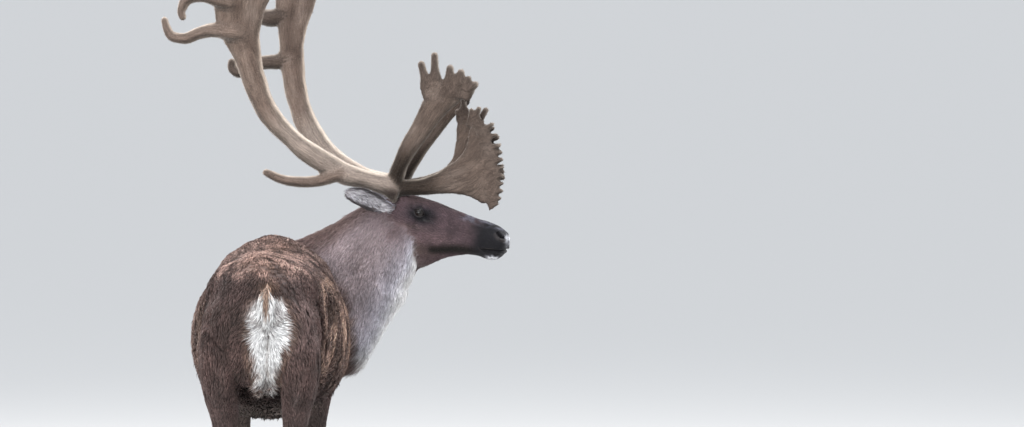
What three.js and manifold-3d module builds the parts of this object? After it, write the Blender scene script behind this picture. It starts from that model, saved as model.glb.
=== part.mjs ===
// A bull reindeer with its antlers in summer velvet: a still, standing, life-size model.
// Millimetres. +X is the animal's right, +Y is the way the trunk faces, +Z is up, z = 0 is the ground.
// The trunk stands square and the neck turns to the right, so that the head looks along +X.
// Every solid of flesh reaches out to the tips of the coat.
import * as THREE from 'three';
import { LoftGeometry } from 'three/addons/geometries/LoftGeometry.js';
import { mergeVertices } from 'three/addons/utils/BufferGeometryUtils.js';
import Module from 'manifold-3d';

// ---------------------------------------------------------------- driving dimensions
const GAP = 0.4;                       // clearance between neighbouring solids
const MIDLINE = -20;                   // the trunk's own middle
const ORIGIN = [170, 224];              // ground point under the middle of the whole model's box
const HEAD_POINT = [444.1, 640, 1244]; // midline point between the eyes
const HEAD_TURN = 14.6;                // degrees that the muzzle swings from +X back towards -Y
const HEAD_NOD = 15;                   // degrees that the muzzle drops
const EYE = { x: 0, y: 57, z: 0, r: 17.5 };
const COLOURS = {
  body: 0x5c4a3d, neck: 0x857e7a, head: 0x4a403e, leg: 0x3d3430, pale: 0xb9b2aa,
  ear: 0x8b8785, eye: 0x120d0b, claw: 0x1f1c1b, velvet: 0x7d6a58,
};

// Trunk: y, top z, bottom z, half width, centre x, height of the widest level (0 bottom .. 1 top)
const TRUNK = [
  [-640, 975, 900, 46, 2, 0.5],
  [-622, 1040, 838, 96, -4, 0.5],
  [-585, 1088, 790, 138, -12, 0.52],
  [-500, 1132, 745, 168, -18, 0.55],
  [-400, 1160, 715, 178, -20, 0.56],
  [-260, 1164, 684, 203, -18, 0.5],
  [-100, 1152, 648, 238, -15, 0.47],
  [60, 1147, 630, 247, -15, 0.47],
  [200, 1160, 630, 238, -18, 0.48],
  [320, 1181, 640, 216, -25, 0.5],
  [420, 1172, 662, 190, -22, 0.5],
  [510, 1135, 692, 160, -10, 0.5],
  [590, 1065, 735, 118, 5, 0.5],
  [640, 985, 800, 58, 15, 0.5],
];

// Neck: dorsal point, throat point, half width
const NECK = [
  [-25, 330, 1140, -20, 430, 720, 150],
  [-2, 450, 1152, 70, 590, 715, 168],
  [52, 548, 1163, 205, 640, 728, 166],
  [104, 590, 1186, 280, 650, 815, 150],
  [160, 615, 1216, 340, 650, 912, 132],
  [218, 632, 1252, 390, 645, 990, 114],
  [280, 655, 1276, 428, 640, 1058, 88],
  [335, 662, 1274, 440, 636, 1105, 70],
];

// Head, in its own frame: x forward from the eyes, top z, bottom z, half width,
// widest z, power of the upper half, power of the lower half, narrowing of the jaw
const HEAD = [
  [-134, 12, -50, 26, -14, 2, 2, 0],
  [-124, 28, -98, 50, -22, 2, 2, 0.1],
  [-100, 38, -150, 67, -28, 2.1, 2, 0.15],
  [-66, 43, -182, 74, -30, 2.2, 2, 0.25],
  [-28, 46, -196, 77, -26, 2.3, 2, 0.34],
  [0, 47, -197, 77, -24, 2.3, 2, 0.4],
  [32, 47, -186, 72, -28, 2.3, 2, 0.42],
  [63, 44, -164, 65, -34, 2.3, 2, 0.4],
  [99, 40, -139, 56, -38, 2.3, 2.1, 0.34],
  [138, 36, -115, 49, -38, 2.3, 2.2, 0.26],
  [177, 32, -97, 46, -34, 2.4, 2.3, 0.2],
  [216, 31, -91, 46, -30, 2.5, 2.4, 0.16],
  [250, 27, -91, 49, -26, 2.5, 2.5, 0.14],
  [275, 17, -82, 49, -26, 2.5, 2.5, 0.14],
  [291, 6, -66, 44, -28, 2.5, 2.5, 0.12],
  [300, -9, -46, 30, -28, 2.3, 2.3, 0.1],
];

// Legs, from the top: z, front y, back y, outer x, inner x (x counted from the midline)
const HIND = [
  [1075, -330, -520, 90, 30],
  [1050, -300, -565, 126, 16],
  [980, -252, -622, 178, 16],
  [900, -236, -645, 190, 26],
  [820, -246, -640, 190, 46],
  [740, -268, -612, 180, 60],
  [680, -312, -590, 162, 64],
  [620, -396, -588, 146, 68],
  [570, -470, -603, 139, 73],
  [530, -510, -620, 135, 77],
  [490, -524, -612, 133, 81],
  [440, -536, -602, 130, 82],
  [300, -544, -594, 127, 83],
  [180, -543, -594, 128, 84],
  [128, -528, -594, 138, 76],
  [88, -502, -566, 138, 78],
  [48, -478, -556, 143, 75],
];
const FORE = [
  [1010, 350, 250, 140, 80],
  [980, 400, 225, 172, 66],
  [930, 428, 210, 198, 56],
  [850, 470, 200, 213, 50],
  [780, 480, 212, 213, 52],
  [720, 452, 234, 200, 58],
  [660, 408, 254, 182, 68],
  [600, 396, 283, 166, 78],
  [520, 386, 300, 154, 84],
  [450, 384, 308, 150, 84],
  [400, 390, 312, 151, 82],
  [350, 380, 317, 147, 85],
  [280, 373, 322, 141, 89],
  [180, 374, 322, 140, 90],
  [128, 386, 316, 148, 82],
  [88, 404, 338, 146, 84],
  [48, 432, 352, 153, 79],
];
// Stance: how far each foot stands forward of, and outside, the square position
const STANCE = {
  hind_left: [-55, -12], hind_right: [45, 14], fore_left: [35, -6], fore_right: [-40, 6],
};
const CLAW = { length: 100, width: 47, height: 47, slit: 5 };
const DEWCLAW = { length: 38, width: 25, height: 58, floor: 16 };

// Antler, in the head's frame. Blades and the beam run between two edges:
// first edge x, z; second edge x, z; y; half thickness
const BEAM = [
  [-78, 60, -88, 4, -44, 29],
  [-104, 86, -106, 16, -55, 31],
  [-130, 90, -126, 24, -66, 27],
  [-175, 88, -180, 30, -84, 25],
  [-234, 92, -243, 24, -108, 24],
  [-300, 109, -308, 38, -132, 25],
  [-374, 134, -389, 68, -165, 25],
  [-427, 160, -452, 101, -185, 25],
  [-478, 196, -509, 136, -205, 25],
  [-521, 243, -562, 183, -222, 25],
  [-553, 297, -606, 239, -236, 24],
  [-576, 345, -640, 293, -250, 23],
  [-592, 400, -680, 347, -264, 21],
  [-600, 450, -716, 388, -276, 19],
  [-598, 500, -748, 440, -288, 17],
  [-584, 556, -768, 508, -304, 16],
  [-568, 612, -776, 590, -316, 15],
  [-542, 668, -750, 690, -324, 14],
  [-506, 722, -698, 772, -325, 13],
  [-458, 768, -622, 836, -318, 12],
  [-408, 802, -530, 868, -309, 11],
  [-372, 822, -440, 866, -302, 9],
];
const BEAM_LEFT = [
  ...BEAM.slice(0, 2),
  [-130, 84, -126, 20, -66, 27],
  [-178, 76, -184, 14, -84, 25],
  [-235, 70, -246, 7, -104, 25],
  [-336, 82, -362, 17, -140, 25],
  [-390, 100, -432, 42, -164, 25],
  [-445, 131, -496, 75, -186, 25],
  [-493, 168, -547, 118, -205, 25],
  [-529, 209, -585, 165, -218, 25],
  [-555, 249, -616, 206, -230, 24],
  [-579, 298, -644, 257, -243, 24],
  [-600, 347, -673, 309, -254, 23],
  [-612, 390, -694, 364, -263, 21],
  [-616, 440, -718, 420, -272, 19],
  [-615, 484, -742, 476, -281, 18],
  [-613, 527, -760, 530, -290, 17],
  [-602, 582, -772, 606, -304, 16],
  [-582, 634, -764, 684, -316, 15],
  [-550, 684, -730, 752, -324, 14],
  [-508, 726, -676, 810, -325, 13],
  [-456, 760, -604, 850, -318, 12],
  [-406, 786, -520, 866, -309, 11],
  [-372, 802, -440, 856, -302, 9],
];
// Round tines: x, y, z, radius
const BACK_TINE = [
  [-262, -120, 66, 22], [-286, -128, 50, 25], [-323, -140, 20, 20], [-383, -155, 0, 18],
  [-441, -165, -7, 16], [-481, -171, -3, 13], [-496, -173, 0, 8],
];
const REAR_TINES = [
  [[-640, -276, 424, 22], [-690, -283, 418, 28], [-742, -290, 409, 24], [-792, -298, 385, 20],
    [-831, -304, 357, 18], [-867, -309, 352, 16], [-896, -312, 378, 13], [-907, -313, 398, 8]],
  [[-700, -300, 506, 20], [-740, -305, 510, 26], [-790, -310, 509, 23], [-830, -315, 497, 20],
    [-856, -319, 470, 18], [-858, -322, 440, 14], [-848, -323, 424, 8]],
];
const REAR_TINES_LEFT = [
  [[-625, -250, 322, 18], [-678, -257, 302, 25], [-722, -261, 287, 23], [-777, -266, 258, 21],
    [-806, -270, 230, 18], [-828, -272, 236, 15], [-835, -273, 256, 9]],
  [[-690, -280, 452, 20], [-721, -283, 440, 29], [-757, -287, 427, 28], [-801, -292, 424, 24],
    [-839, -296, 430, 19], [-866, -298, 448, 15], [-870, -299, 474, 9]],
];
const CROWN_TINES = [
  [[-715, -328, 640, 16], [-790, -326, 690, 20], [-838, -318, 760, 16], [-850, -312, 812, 9]],
  [[-655, -322, 780, 16], [-705, -314, 846, 20], [-728, -304, 912, 15], [-726, -298, 956, 8]],
  [[-550, -312, 830, 14], [-580, -302, 902, 18], [-580, -292, 962, 14], [-566, -286, 1004, 8]],
  [[-430, -303, 840, 12], [-420, -292, 900, 15], [-388, -280, 950, 13], [-358, -272, 976, 8]],
];
const BEZ = [
  [-128, 62, -90, 56, -50, 22], [-131, 98, -80, 92, -54, 21],
  [-125, 133, -76, 123, -62, 19], [-113, 191, -58, 176, -75, 16], [-97, 249, -33, 233, -85, 14],
  [-78, 312, -8, 290, -94, 12], [-68, 362, 24, 346, -101, 11], [-68, 400, 60, 398, -108, 9],
  [-58, 430, 82, 438, -111, 7],
];
const BEZ_LEFT = [
  [-128, 62, -92, 56, -50, 22], [-131, 98, -86, 92, -54, 21],
  [-125, 133, -78, 125, -62, 19], [-116, 191, -62, 180, -75, 16], [-104, 249, -42, 236, -85, 14],
  [-92, 308, -18, 294, -94, 12], [-86, 352, 6, 342, -101, 11], [-84, 384, 16, 376, -108, 9],
  [-76, 402, 22, 394, -111, 7],
];
const BEZ_LEFT_POINTS = [
  [-74, 368, -106, 420, -108, 13], [-46, 380, -58, 434, -110, 13], [-18, 380, -14, 428, -112, 12],
  [4, 368, 24, 412, -112, 12],
];
const BEZ_POINTS = [
  [-62, 400, -105, 474, -108, 12], [-38, 416, -68, 514, -110, 13], [4, 424, -6, 490, -112, 14],
  [38, 424, 34, 486, -113, 15], [66, 420, 94, 460, -112, 14],
];
const BROW_NEAR = [
  [-104, 72, -78, 34, -46, 20], [-69, 87, -56, 42, -39, 20], [-30, 104, -12, 55, -34, 18],
  [13, 135, 43, 73, -29, 16], [49, 171, 91, 85, -25, 13], [72, 206, 127, 89, -23, 11],
  [84, 250, 164, 84, -22, 9.5], [82, 298, 194, 78, -21, 8.5], [76, 342, 222, 72, -20, 7.5],
  [102, 360, 236, 90, -20, 7], [134, 346, 243, 118, -20, 6.5], [164, 312, 244, 152, -20, 6],
];
const BROW_NEAR_POINTS = [
  [88, 336, 96, 376, -20, 10], [80, 326, 71, 364, -20, 9], [130, 304, 152, 336, -20, 12],
  [162, 254, 192, 276, -20, 12], [184, 214, 212, 236, -20, 12], [199, 168, 228, 186, -20, 12],
  [206, 122, 238, 140, -20, 11],
];
const BROW_FAR = [
  [-104, 70, -80, 34, -44, 20], [-39, 107, -14, 56, -36, 18], [0, 135, 38, 73, -32, 16],
  [30, 165, 84, 84, -29, 14], [38, 205, 120, 86, -28, 12], [32, 256, 152, 82, -27, 10],
  [20, 312, 180, 80, -26, 9], [26, 360, 200, 86, -26, 8], [62, 356, 210, 108, -26, 6],
];
const BROW_FAR_POINTS = [
  [30, 318, 10, 344, -26, 10], [38, 338, 22, 390, -26, 11], [88, 310, 108, 374, -26, 11],
  [105, 262, 170, 296, -26, 11], [120, 216, 192, 252, -26, 10], [146, 150, 222, 176, -26, 10],
];

// ---------------------------------------------------------------- small tools
const wasm = await Module();
wasm.setup();
const V3 = (x, y, z) => new THREE.Vector3(x, y, z);
const rad = THREE.MathUtils.degToRad;

// Smooth curve through a table's rows without overshoot; column values at n places.
function slopes(x, y) {
  const n = x.length, d = [], m = new Array(n).fill(0);
  for (let i = 0; i < n - 1; i++) d.push((y[i + 1] - y[i]) / (x[i + 1] - x[i]));
  m[0] = d[0]; m[n - 1] = d[n - 2];
  for (let i = 1; i < n - 1; i++) {
    if (d[i - 1] * d[i] <= 0) continue;
    const h0 = x[i] - x[i - 1], h1 = x[i + 1] - x[i], w0 = 2 * h1 + h0, w1 = h1 + 2 * h0;
    m[i] = (w0 + w1) / (w0 / d[i - 1] + w1 / d[i]);
  }
  return m;
}
function resample(rows, n, key) {
  const t = [0];
  for (let i = 1; i < rows.length; i++) {
    const a = key(rows[i - 1]), b = key(rows[i]);
    t.push(t[i - 1] + a.distanceTo(b));
  }
  const cols = rows[0].map((_, k) => rows.map(r => r[k]));
  const ms = cols.map(c => slopes(t, c));
  const out = [];
  for (let j = 0; j < n; j++) {
    const s = t[t.length - 1] * j / (n - 1);
    let i = 0;
    while (i < t.length - 2 && s > t[i + 1]) i++;
    const h = t[i + 1] - t[i], u = (s - t[i]) / h, u2 = u * u, u3 = u2 * u;
    out.push(cols.map((c, k) => (2 * u3 - 3 * u2 + 1) * c[i] + (u3 - 2 * u2 + u) * h * ms[k][i]
      + (3 * u2 - 2 * u3) * c[i + 1] + (u3 - u2) * h * ms[k][i + 1]));
  }
  return out;
}

// A rounded section about a point: half width to each side, its own height up and down.
function ring(centre, side, up, halfWidth, top, bottom, k, pTop = 2, pBottom = 2, narrow = 0) {
  const points = [];
  for (let j = 0; j < k; j++) {
    const a = 2 * Math.PI * (j + 0.5) / k, c = Math.cos(a), s = Math.sin(a);
    const p = s >= 0 ? pTop : pBottom;
    const x = Math.sign(c) * Math.pow(Math.abs(c), 2 / p) * halfWidth * (s < 0 ? 1 + narrow * s : 1);
    const z = s >= 0 ? Math.pow(s, 2 / p) * top : -Math.pow(-s, 2 / p) * bottom;
    points.push(centre.clone().addScaledVector(side, x).addScaledVector(up, z));
  }
  return points;
}

// A closed solid from sections. Each section is turned to run anticlockwise as seen from the far end.
function solid(sections) {
  const i = Math.floor(sections.length / 2), s = sections[i];
  const middle = list => list.reduce((p, q) => p.add(q), V3(0, 0, 0)).divideScalar(list.length);
  const c = middle(s), onward = middle(sections[Math.min(i + 1, sections.length - 1)]).sub(middle(sections[i - 1]));
  const normal = V3(0, 0, 0);
  s.forEach((p, j) => normal.add(p.clone().sub(c).cross(s[(j + 1) % s.length].clone().sub(c))));
  if (normal.dot(onward) < 0) sections = sections.map(ringPoints => [...ringPoints].reverse());
  return weld(new LoftGeometry(sections, { capStart: true, capEnd: true }));
}
function weld(geometry) {
  const plain = new THREE.BufferGeometry();
  plain.setAttribute('position', geometry.getAttribute('position'));
  plain.setIndex(geometry.getIndex());
  const g = mergeVertices(plain, 1e-4);
  return new wasm.Manifold(new wasm.Mesh({
    numProp: 3, vertProperties: Float32Array.from(g.getAttribute('position').array), triVerts: Uint32Array.from(g.getIndex().array),
  }));
}
// One side of a plane, as a large block.
function halfSpace(point, normal, size = 4000) {
  const g = new THREE.BoxGeometry(size, size, size);
  g.translate(0, 0, size / 2);
  g.applyQuaternion(new THREE.Quaternion().setFromUnitVectors(V3(0, 0, 1), normal.clone().normalize()));
  g.translate(point.x, point.y, point.z);
  return weld(g);
}
const split = (body, point, normal) => {
  const n = normal.clone().normalize();
  const back = point.clone().addScaledVector(n, -GAP);
  return [body.intersect(halfSpace(point, n)), body.intersect(halfSpace(back, n.clone().negate()))];
};
const unite = list => list.reduce((a, b) => a.add(b));

// ---------------------------------------------------------------- the head's frame
const forward = V3(Math.cos(rad(HEAD_TURN)) * Math.cos(rad(HEAD_NOD)),
  -Math.sin(rad(HEAD_TURN)) * Math.cos(rad(HEAD_NOD)), -Math.sin(rad(HEAD_NOD)));
const left = V3(Math.sin(rad(HEAD_TURN)), Math.cos(rad(HEAD_TURN)), 0);
const crown = forward.clone().cross(left);
const headPoint = V3(...HEAD_POINT);
const H = (x, y, z) => headPoint.clone().addScaledVector(forward, x).addScaledVector(left, y).addScaledVector(crown, z);

// ---------------------------------------------------------------- trunk, neck and tail
function trunkSolid(grow = 0) {
  const rows = resample(TRUNK, 17, r => V3(0, r[0], (r[1] + r[2]) / 4));
  const last = rows.length - 1;
  return solid(rows.map(([y, top, bottom, half, x, level], i) => {
    const z = bottom + (top - bottom) * level;
    const yy = y + (i === 0 ? -grow : i === last ? grow : 0);
    return ring(V3(x, yy, z), V3(1, 0, 0), V3(0, 0, 1), half + grow, top - z + grow, z - bottom + grow, 18, 2.05, 2.15);
  }));
}
function neckSolid(grow = 0) {
  const rows = resample(NECK, 10, r => V3((r[0] + r[3]) / 2, (r[1] + r[4]) / 2, (r[2] + r[5]) / 2));
  const mid = rows.map(r => V3((r[0] + r[3]) / 2, (r[1] + r[4]) / 2, (r[2] + r[5]) / 2));
  return solid(rows.map((r, i) => {
    const along = mid[Math.min(i + 1, mid.length - 1)].clone().sub(mid[Math.max(i - 1, 0)]).normalize();
    const up = V3(r[0] - r[3], r[1] - r[4], r[2] - r[5]);
    const half = up.length() / 2;
    up.normalize();
    const side = along.clone().cross(up).normalize();
    const c = mid[i].clone().addScaledVector(along, i === rows.length - 1 ? grow : 0);
    return ring(c, side, up, r[6] + grow, half + grow, half + grow, 14, 1.85, 2.1);
  }));
}
const TAIL = [[1098, -596, 20, 14], [1085, -618, 30, 24], [1050, -634, 36, 27], [1005, -646, 38, 26],
  [965, -652, 34, 23], [936, -652, 22, 16], [922, -650, 9, 8]];
function tailSolid() {
  const rows = resample(TAIL, 7, r => V3(0, r[1], r[0]));
  return solid(rows.map(([z, y, half, thick]) => ring(V3(14, y, z), V3(1, 0, 0), V3(0, 1, 0), half, thick, thick, 10)));
}

// ---------------------------------------------------------------- legs
const reach = name => (name.startsWith('hind') ? HIND : FORE);
function legRows(name, count) {
  const rows = resample(reach(name), count, r => V3((r[3] + r[4]) / 2, (r[1] + r[2]) / 2, r[0]));
  const top = name.startsWith('hind') ? 800 : 760;
  return rows.map(([z, yf, yb, xo, xi]) => {
    const s = Math.min(1, Math.max(0, (top - z) / (top - 90))), e = s * s * (3 - 2 * s);
    return [z, yf + STANCE[name][0] * e, yb + STANCE[name][0] * e, xo + STANCE[name][1] * e, xi + STANCE[name][1] * e];
  });
}
function legSolid(name, outer = 0, grow = 0, count = 15) {
  const sign = name.endsWith('left') ? -1 : 1;
  const rows = legRows(name, count);
  return solid(rows.map(([z, yf, yb, xo, xi], i) => {
    const a = xi - grow, b = xo + outer + grow;
    const edge = i === 0 ? grow : i === rows.length - 1 ? -grow : 0;
    return ring(V3(MIDLINE * Math.min(1, z / 700) + sign * (a + b) / 2, (yf + yb) / 2, z + edge), V3(1, 0, 0), V3(0, 1, 0),
      (b - a) / 2, (yf - yb) / 2 + grow, (yf - yb) / 2 + grow, 10, 2.15, 2.15);
  }));
}
// Claws: a half-moon outline, straight inside and rounded outside, leaning back as it rises.
function footFrame(name) {
  const rows = legRows(name, 18), r = rows[rows.length - 1];
  const sign = name.endsWith('left') ? -1 : 1;
  return { sign, x: MIDLINE * r[0] / 700 + sign * (r[3] + r[4]) / 2, y: (r[1] + r[2]) / 2 };
}
function clawSolid(name, which) {
  const f = footFrame(name), out = which * f.sign;
  const levels = [[0, 1, 0], [6, 1.01, 0], [26, 0.91, -5], [CLAW.height, 0.74, -14]];
  return solid(levels.map(([z, size, lean]) => {
    const points = [];
    for (let j = 0; j < 10; j++) {
      const a = 2 * Math.PI * (j + 0.5) / 10;
      const along = Math.cos(a) * CLAW.length / 2 * size;
      const bulge = Math.sin(a) >= 0 ? Math.pow(Math.sin(a), 0.8) * (CLAW.width - 4) * size : Math.sin(a) * 4 * size;
      points.push(V3(f.x + out * (CLAW.slit / 2 + 4 + bulge) - out * Math.max(0, along) * 0.07, f.y + 8 + lean + along, z));
    }
    return points;
  }));
}
function dewclawSolid(name, which) {
  const f = footFrame(name), out = which * f.sign;
  const rows = [[DEWCLAW.floor, 0.6, -10], [DEWCLAW.floor + 14, 0.95, -3], [DEWCLAW.floor + DEWCLAW.height, 0.75, 15]];
  return solid(rows.map(([z, size, lean]) => ring(V3(f.x + out * 23, f.y - 67 + lean, z), V3(1, 0, 0), V3(0, 1, 0),
    DEWCLAW.width / 2 * size, DEWCLAW.length / 2 * size, DEWCLAW.length / 2 * size, 7)));
}

// ---------------------------------------------------------------- head, ears, eyes
function headSolid(grow = 0) {
  const rows = resample(HEAD, 18, r => V3(r[0], 0, (r[1] + r[2]) / 3));
  const last = rows.length - 1;
  return solid(rows.map(([x, top, bottom, half, z, pt, pb, narrow], i) => ring(
    H(x + (i === 0 ? -grow : i === last ? grow : 0), 0, z), left, crown, half + grow, top - z + grow, z - bottom + grow, 14, pt, pb, narrow)));
}
// An ear is a cupped leaf: [along, half width, cup depth, thickness]
const EAR = { base: [-96, -60, -13], tip: [-234, -140, 19], rows: [
  [-0.06, 17, 2, 15], [0.08, 22, 8, 15], [0.25, 32, 15, 12], [0.45, 39, 18, 9.5], [0.65, 39, 15, 8],
  [0.82, 32, 9, 7], [0.94, 20, 4, 5.5], [1, 8, 1, 3.5]] };
function earSolid(side) {
  const base = H(EAR.base[0], side * EAR.base[1] * -1, EAR.base[2]), tip = H(EAR.tip[0], side * EAR.tip[1] * -1, EAR.tip[2]);
  const axis = tip.clone().sub(base), length = axis.length();
  axis.normalize();
  // the cup opens outwards and a little down
  const open = left.clone().multiplyScalar(side).addScaledVector(crown, -0.25).addScaledVector(forward, -0.2);
  open.addScaledVector(axis, -open.dot(axis)).normalize();
  const across = axis.clone().cross(open).normalize();
  return solid(EAR.rows.map(([t, half, cup, thick]) => {
    const c = base.clone().addScaledVector(axis, t * length);
    const points = [];
    for (let j = 0; j < 7; j++) {
      const u = -1 + 2 * j / 6;
      points.push(c.clone().addScaledVector(across, u * half).addScaledVector(open, cup * u * u - thick * 0.6 * (1 - 0.55 * u * u)));
    }
    for (let j = 0; j < 5; j++) {
      const u = 0.72 - 1.44 * j / 4;
      points.push(c.clone().addScaledVector(across, u * half).addScaledVector(open, cup * u * u + thick * 0.4 * (1 - 0.5 * u * u)));
    }
    return points;
  }));
}
function eyeSolid(side, grow = 0) {
  const g = new THREE.SphereGeometry(EYE.r + grow, 10, 6);
  g.applyQuaternion(new THREE.Quaternion().setFromUnitVectors(V3(0, 1, 0), left));
  const p = H(EYE.x, side * EYE.y, EYE.z);
  g.translate(p.x, p.y, p.z);
  return weld(g);
}

// ---------------------------------------------------------------- antlers
// side is -1 for the right antler and +1 for the left; grow thickens the solid all round
function blade(table, side, count, k, grow = 0, power = 2.2) {
  const rows = resample(table, count, r => V3((r[0] + r[2]) / 2, r[4], (r[1] + r[3]) / 2));
  const last = rows.length - 1;
  return solid(rows.map((r, i) => {
    const a = H(r[0], -side * r[4], r[1]), b = H(r[2], -side * r[4], r[3]);
    const wide = b.clone().sub(a), half = wide.length() / 2;
    wide.normalize();
    const c = a.add(b).multiplyScalar(0.5);
    if (grow && (i === 0 || i === last)) {
      const q = rows[i === 0 ? 1 : last - 1];
      const d = c.clone().sub(H((q[0] + q[2]) / 2, -side * q[4], (q[1] + q[3]) / 2)).normalize();
      c.addScaledVector(d, grow);
    }
    return ring(c, wide, left, half + grow, r[5] + grow, r[5] + grow, k, power, power);
  }));
}
function tine(table, side, count, k) {
  const rows = resample(table, count, r => V3(r[0], r[1], r[2]));
  const at = rows.map(r => H(r[0], -side * r[1], r[2]));
  return solid(rows.map((r, i) => {
    const along = at[Math.min(i + 1, at.length - 1)].clone().sub(at[Math.max(i - 1, 0)]).normalize();
    const side1 = left.clone().addScaledVector(along, -left.dot(along)).normalize();
    return ring(at[i], side1, along.clone().cross(side1), r[3] * 0.9, r[3], r[3], k);
  }));
}
// A short stub that widens into the edge of its blade
const point = ([x0, z0, x1, z1, y, r], side) => {
  const dx = x1 - x0, dz = z1 - z0, n = Math.hypot(dx, dz), px = -dz / n, pz = dx / n;
  return blade([[-0.4, 1.9, 0.85], [0.1, 1.7, 0.95], [0.5, 1.1, 1], [1, 0.8, 0.75]].map(([t, w, h]) => [
    x0 + dx * t + px * w * r, z0 + dz * t + pz * w * r, x0 + dx * t - px * w * r, z0 + dz * t - pz * w * r, y, h * r]), side, 4, 4);
};

function antler(side, headGrown) {
  const [table, rear, bezTable, bezPoints, brow, browPoints] = side < 0
    ? [BEAM, REAR_TINES, BEZ, BEZ_POINTS, BROW_NEAR, BROW_NEAR_POINTS]
    : [BEAM_LEFT, REAR_TINES_LEFT, BEZ_LEFT, BEZ_LEFT_POINTS, BROW_FAR, BROW_FAR_POINTS];
  const beam = blade(table, side, 19, 8).subtract(headGrown);
  const beamGrown = blade(table, side, 19, 8, GAP);
  const forkA = H(-345, 0, 70), forkB = side < 0 ? H(-598, 0, 372) : H(-596, 0, 262);
  const [upper, lower] = split(beam, forkA, forward.clone().multiplyScalar(-0.9).addScaledVector(crown, 0.45));
  const [palm, middle] = split(upper, forkB, crown.clone().multiplyScalar(0.85).addScaledVector(forward, -0.45));
  const crownTines = CROWN_TINES.map(t => tine(t, side, 4, 5));
  const rearTines = rear.map(t => tine(t, side, 6, 5));
  const bezBlade = unite([blade(bezTable, side, 7, 6), ...bezPoints.map(p => point(p, side))]);
  const browBlade = unite([blade(brow, side, 8, 6), ...browPoints.map(p => point(p, side))]);
  const bez = bezBlade.subtract(beamGrown).subtract(headGrown);
  return {
    beam_lower: lower,
    beam_middle: middle,
    palm: unite([palm, ...crownTines]),
    // only the right beam carries a back tine
    ...(side < 0 ? { back_tine: tine(BACK_TINE, side, 6, 6).subtract(beamGrown) } : {}),
    rear_tine_lower: rearTines[0].subtract(beamGrown),
    rear_tine_upper: rearTines[1].subtract(beamGrown),
    bez,
    brow: browBlade.subtract(beamGrown).subtract(headGrown).subtract(blade(bezTable, side, 7, 6, GAP)),
  };
}

// ---------------------------------------------------------------- putting it together
const group = new THREE.Group();
const meshes = [];
function add(name, body, colour, roughness = 0.85) {
  const m = body.getMesh(), n = m.numProp;
  const position = new Float32Array(m.vertProperties.length / n * 3);
  for (let i = 0; i < position.length / 3; i++) for (let k = 0; k < 3; k++) position[3 * i + k] = m.vertProperties[n * i + k];
  const geometry = new THREE.BufferGeometry();
  geometry.setAttribute('position', new THREE.BufferAttribute(position, 3));
  geometry.setIndex(new THREE.BufferAttribute(Uint32Array.from(m.triVerts), 1));
  geometry.computeVertexNormals();
  const mesh = new THREE.Mesh(geometry, new THREE.MeshStandardMaterial({ color: colour, roughness, metalness: 0 }));
  mesh.name = name;
  meshes.push(mesh);
  group.add(mesh);
}

const LEGS = ['hind_left', 'hind_right', 'fore_left', 'fore_right'];
const trunk = trunkSolid(), headWhole = headSolid();
let flesh = unite([trunk, neckSolid(), ...LEGS.map(n => legSolid(n))]);

// the head meets the neck along a plane from the nape to the throat
const nape = H(-112, 0, 0), napeNormal = forward.clone().multiplyScalar(0.945).addScaledVector(crown, 0.327).normalize();
const head = headWhole.add(neckSolid()).intersect(halfSpace(nape, napeNormal, 800))
  .subtract(eyeSolid(1, GAP)).subtract(eyeSolid(-1, GAP));
flesh = flesh.add(headWhole).subtract(halfSpace(nape.clone().addScaledVector(napeNormal, -GAP), napeNormal, 800));

// A leg and the flesh about its root: all of the body inside an upright slab, seen from the side.
function limbBlock(name, grow = 0) {
  const outline = name.startsWith('hind')
    ? [[-800, -50], [-212 + grow, -50], [-212 + grow, 730 + grow], [-800, 925 + grow]]
    : [[186 - grow, -50], [530 + grow, -50], [530 + grow, 815 + grow], [186 - grow, 700 + grow]];
  const sign = name.endsWith('left') ? -1 : 1, inner = (name.startsWith('hind') ? GAP / 2 : 52) - grow;
  const shape = new THREE.Shape(outline.map(([y, z]) => new THREE.Vector2(y, z)));
  const g = new THREE.ExtrudeGeometry(shape, { depth: 400, bevelEnabled: false });
  g.applyMatrix4(new THREE.Matrix4().makeBasis(V3(0, 1, 0), V3(0, 0, 1), V3(1, 0, 0)));
  g.translate(sign > 0 ? MIDLINE + inner : MIDLINE - inner - 400, 0, 0);
  return weld(g);
}
for (const name of LEGS) {
  const limb = flesh.intersect(limbBlock(name));
  flesh = flesh.subtract(limbBlock(name, GAP));
  const hind = name.startsWith('hind');
  const [upper, rest] = hind ? split(limb, V3(0, -430, 665), V3(0, 0.45, 1)) : split(limb, V3(0, 330, 598), V3(0, -0.1, 1));
  const [middle, lower] = hind ? split(rest, V3(0, -560, 488), V3(0, 0, 1)) : split(rest, V3(0, 350, 398), V3(0, 0, 1));
  const names = hind ? ['thigh', 'shank', 'foot'] : ['shoulder', 'forearm', 'foot'];
  add(`${name}_${names[0]}`, upper, COLOURS.body);
  add(`${name}_${names[1]}`, middle, COLOURS.leg);
  add(`${name}_${names[2]}`, lower, COLOURS.leg);
  const legGrown = legSolid(name, 0, GAP);
  for (const [label, which] of [['outer', 1], ['inner', -1]]) {
    add(`${name}_claw_${label}`, clawSolid(name, which).subtract(legGrown), COLOURS.claw, 0.5);
    add(`${name}_dewclaw_${label}`, dewclawSolid(name, which).subtract(legGrown), COLOURS.claw, 0.5);
  }
}

// the neck leaves the trunk in front of the shoulders
const [neck, barrel] = split(flesh, V3(0, 500, 960), V3(0.3, 0.9, 0.3));
add('trunk', barrel, COLOURS.body);
add('neck', neck, COLOURS.neck);
add('tail', tailSolid().subtract(trunkSolid(GAP)), COLOURS.pale);
add('head', head, COLOURS.head);

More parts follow.
